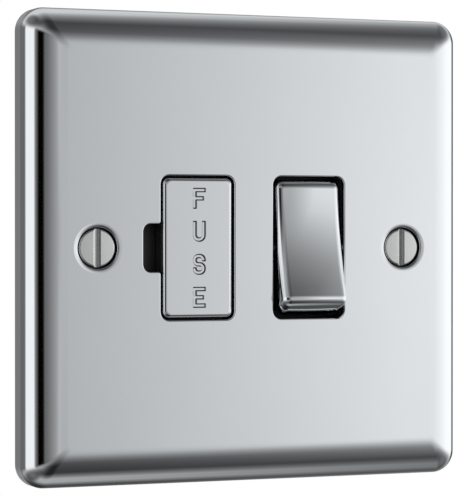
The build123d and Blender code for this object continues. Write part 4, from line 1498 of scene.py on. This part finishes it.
@dataclass
class Studio:
    """White studio: a camera at the photograph's angle, a pale floor, soft light and a surround of panels."""

    camera_place: Triple = (-0.16855, -0.41136, 0.00271)
    yaw: float = 22.19
    pitch: float = -0.363
    focal_pixels: float = 2386.8
    image_height: float = 496.0
    sensor: float = 36.0
    nearest: float = 0.01
    floor_level: float = -0.6
    floor_half: float = 2.0
    floor_grey: float = 0.9
    floor_glow: float = 0.8
    lamp_place: Triple = (-0.6, -1.0, 0.9)
    lamp_size: float = 1.2
    lamp_power: float = 5.0
    fill_level: float = 0.72
    plating_gain: float = 1.2
    display_gamma: float = 2.2
    flag_turn: float = -45.0
    flag_half: float = 5.0
    flag_feather: float = 7.0
    flag_rise: float = 0.12
    flag_fade: float = 0.18
    flag_cover: float = 0.9
    gap_slope: float = 8.0
    gap_start: float = 0.6
    gap_cover: float = 0.45
    screen_height: float = 0.2
    screen_fade: float = 0.2
    wall_grey: float = 0.8
    trace: float = 1e-6

    def camera(self) -> None:
        """Stand the camera where the photograph was taken from."""
        data = bpy.data.cameras.new("camera")
        data.sensor_width = self.sensor
        data.lens = self.focal_pixels / self.image_height * self.sensor
        data.clip_start = self.nearest
        holder = bpy.data.objects.new("camera", data)
        bpy.context.scene.collection.objects.link(holder)
        yaw, pitch = math.radians(self.yaw), math.radians(self.pitch)
        ahead = Vector((math.sin(yaw) * math.cos(pitch), math.cos(yaw) * math.cos(pitch), math.sin(pitch)))
        holder.location = self.camera_place
        holder.rotation_euler = ahead.to_track_quat("-Z", "Y").to_euler()
        bpy.context.scene.camera = holder

    def floor(self) -> None:
        """Lay a pale floor well below the unit."""
        half = self.floor_half
        mesh = bpy.data.meshes.new("floor")
        spots = [(-half, -half), (half, -half), (half, half), (-half, half)]
        mesh.from_pydata([(x, y, self.floor_level) for x, y in spots], [], [(0, 1, 2, 3)])
        made = bpy.data.materials.new("pale_floor")
        made.use_nodes = True
        made.node_tree.nodes.clear()
        shade = Shade(made.node_tree)
        paint = shade.node("ShaderNodeBsdfDiffuse", {}, {"Color": (*(self.floor_grey,) * 3, 1)})
        glow = shade.node("ShaderNodeEmission", {}, {"Color": (1, 1, 1, 1), "Strength": 1.0})
        seen = shade.node("ShaderNodeLightPath", {}, {}, "Is Camera Ray")
        share = seen * self.floor_glow
        both = shade.node("ShaderNodeMixShader", {}, {"Fac": share, "Shader": paint, "Shader_001": glow})
        shade.node("ShaderNodeOutputMaterial", {}, {"Surface": both})
        mesh.materials.append(made)
        sheet = bpy.data.objects.new("floor", mesh)
        sheet.visible_glossy = False
        bpy.context.scene.collection.objects.link(sheet)

    def lamp(self) -> None:
        """Hang one large soft lamp in front of the unit, above and to the left."""
        data = bpy.data.lights.new("soft_lamp", "AREA")
        data.size = self.lamp_size
        data.energy = self.lamp_power
        holder = bpy.data.objects.new("soft_lamp", data)
        holder.location = self.lamp_place
        holder.rotation_euler = (-holder.location).to_track_quat("-Z", "Y").to_euler()
        holder.visible_glossy = False
        bpy.context.scene.collection.objects.link(holder)

    def surround(self) -> None:
        """Set up the panels that bright metal reflects; other light from the surround is plain and even."""
        world = bpy.data.worlds.new("studio")
        bpy.context.scene.world = world
        world.use_nodes = True
        world.node_tree.nodes.clear()
        shade = Shade(world.node_tree)
        way = shade.node("ShaderNodeTexCoord", {}, {}, "Generated")
        x, y, z = (shade.node("ShaderNodeSeparateXYZ", {}, {"Vector": way}, axis) for axis in "XYZ")
        # The angle from straight ahead as a share of half a turn, and with its side as a share of a turn
        tilt_turn = shade.math("ARCCOSINE", 0 - y) / math.pi
        round_turn = tilt_turn * shade.math("SIGN", x) * 0.5 + 0.5
        uncovered = 1 - self.flag(shade, round_turn, z) * self.flag_cover
        screens = self.ramp(shade, round_turn, Sides) * uncovered
        clear_of = (shade.math("ABSOLUTE", z) - self.screen_height) / self.screen_fade
        around = screens + (self.wall_grey - screens) * self.limit(clear_of)
        over = self.ramp(shade, tilt_turn, Overhead)
        under = self.ramp(shade, tilt_turn, Below)
        upright = under + (over - under) * shade.math("GREATER_THAN", z, 0.0)
        sideways = (x * x) / (x * x + z * z + self.trace)
        gaps = self.limit((x * x) * (z * z) * self.gap_slope - self.gap_start)
        grey = (upright + (around - upright) * sideways) * (1 - gaps * self.gap_cover)
        light = (grey ** self.display_gamma) * self.plating_gain
        mirror = shade.node("ShaderNodeLightPath", {}, {}, "Is Glossy Ray")
        clear = shade.node("ShaderNodeLightPath", {}, {}, "Is Transmission Ray")
        seen = shade.node("ShaderNodeLightPath", {}, {}, "Is Camera Ray")
        level = self.fill_level + (light - self.fill_level) * shade.math("MAXIMUM", mirror, clear)
        strength = level + (1.0 - level) * seen
        backdrop = shade.node("ShaderNodeBackground", {}, {"Color": (1, 1, 1, 1), "Strength": strength})
        shade.node("ShaderNodeOutputWorld", {}, {"Surface": backdrop})

    def flag(self, shade: Shade, round_turn: Shade, z: Shade) -> Shade:
        """Describe the low black strip that stands in front of the surround on the left.

        Args:
            shade: the world's tree.
            round_turn: the angle from straight ahead with its side, as a share of a whole turn.
            z: the height of the direction.
        Returns:
            1 on the strip, 0 clear of it.
        """
        away = shade.math("ABSOLUTE", round_turn * 360.0 - (180.0 + self.flag_turn))
        across = (self.flag_half + self.flag_feather - away) / self.flag_feather
        upwards = (self.flag_rise + self.flag_fade - shade.math("ABSOLUTE", z)) / self.flag_fade
        return self.limit(across) * self.limit(upwards)

    def limit(self, share: Shade) -> Shade:
        """Keep a share between 0 and 1."""
        return share.math("MINIMUM", share.math("MAXIMUM", share, 0.0), 1.0)

    def ramp(self, shade: Shade, share: Shade, panels: type[Enum]) -> Shade:
        """Look a grey up by angle; between two panels it runs from one to the other.

        Args:
            shade: the world's tree.
            share: the angle as a share of the way from the first panel's start to the last one's end.
            panels: the panels, in order.
        Returns:
            The grey.
        """
        rows = [item.value for item in panels]
        first, last = rows[0].start, rows[-1].end
        stops = [((angle - first) / (last - first), (row.grey, row.grey, row.grey, 1))
                 for row in rows for angle in (row.start, row.end)]
        return shade.node("ShaderNodeValToRGB", {"stops": stops}, {"Fac": share})

    def build(self) -> None:
        """Set the studio up."""
        self.camera()
        self.floor()
        self.lamp()
        self.surround()
        bpy.context.scene.view_settings.view_transform = "Standard"


def dress_nodes() -> None:
    """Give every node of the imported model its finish."""
    for part in frame["record"]["subparts"]:
        node = frame["nodes"][part["node"]]
        node.data.materials.clear()
        node.data.materials.append(finish_of(part["material_slot"]).material())


def main() -> None:
    """Build the pieces in order."""
    logging.basicConfig(level=logging.INFO, format="%(name)s: %(message)s")
    dress_nodes()
    FrontPlate().build()
    FuseCap().build()
    Rocker().build()
    Fasteners(Pattern()).build()
    Studio().build()


if __name__ == "__main__":
    main()
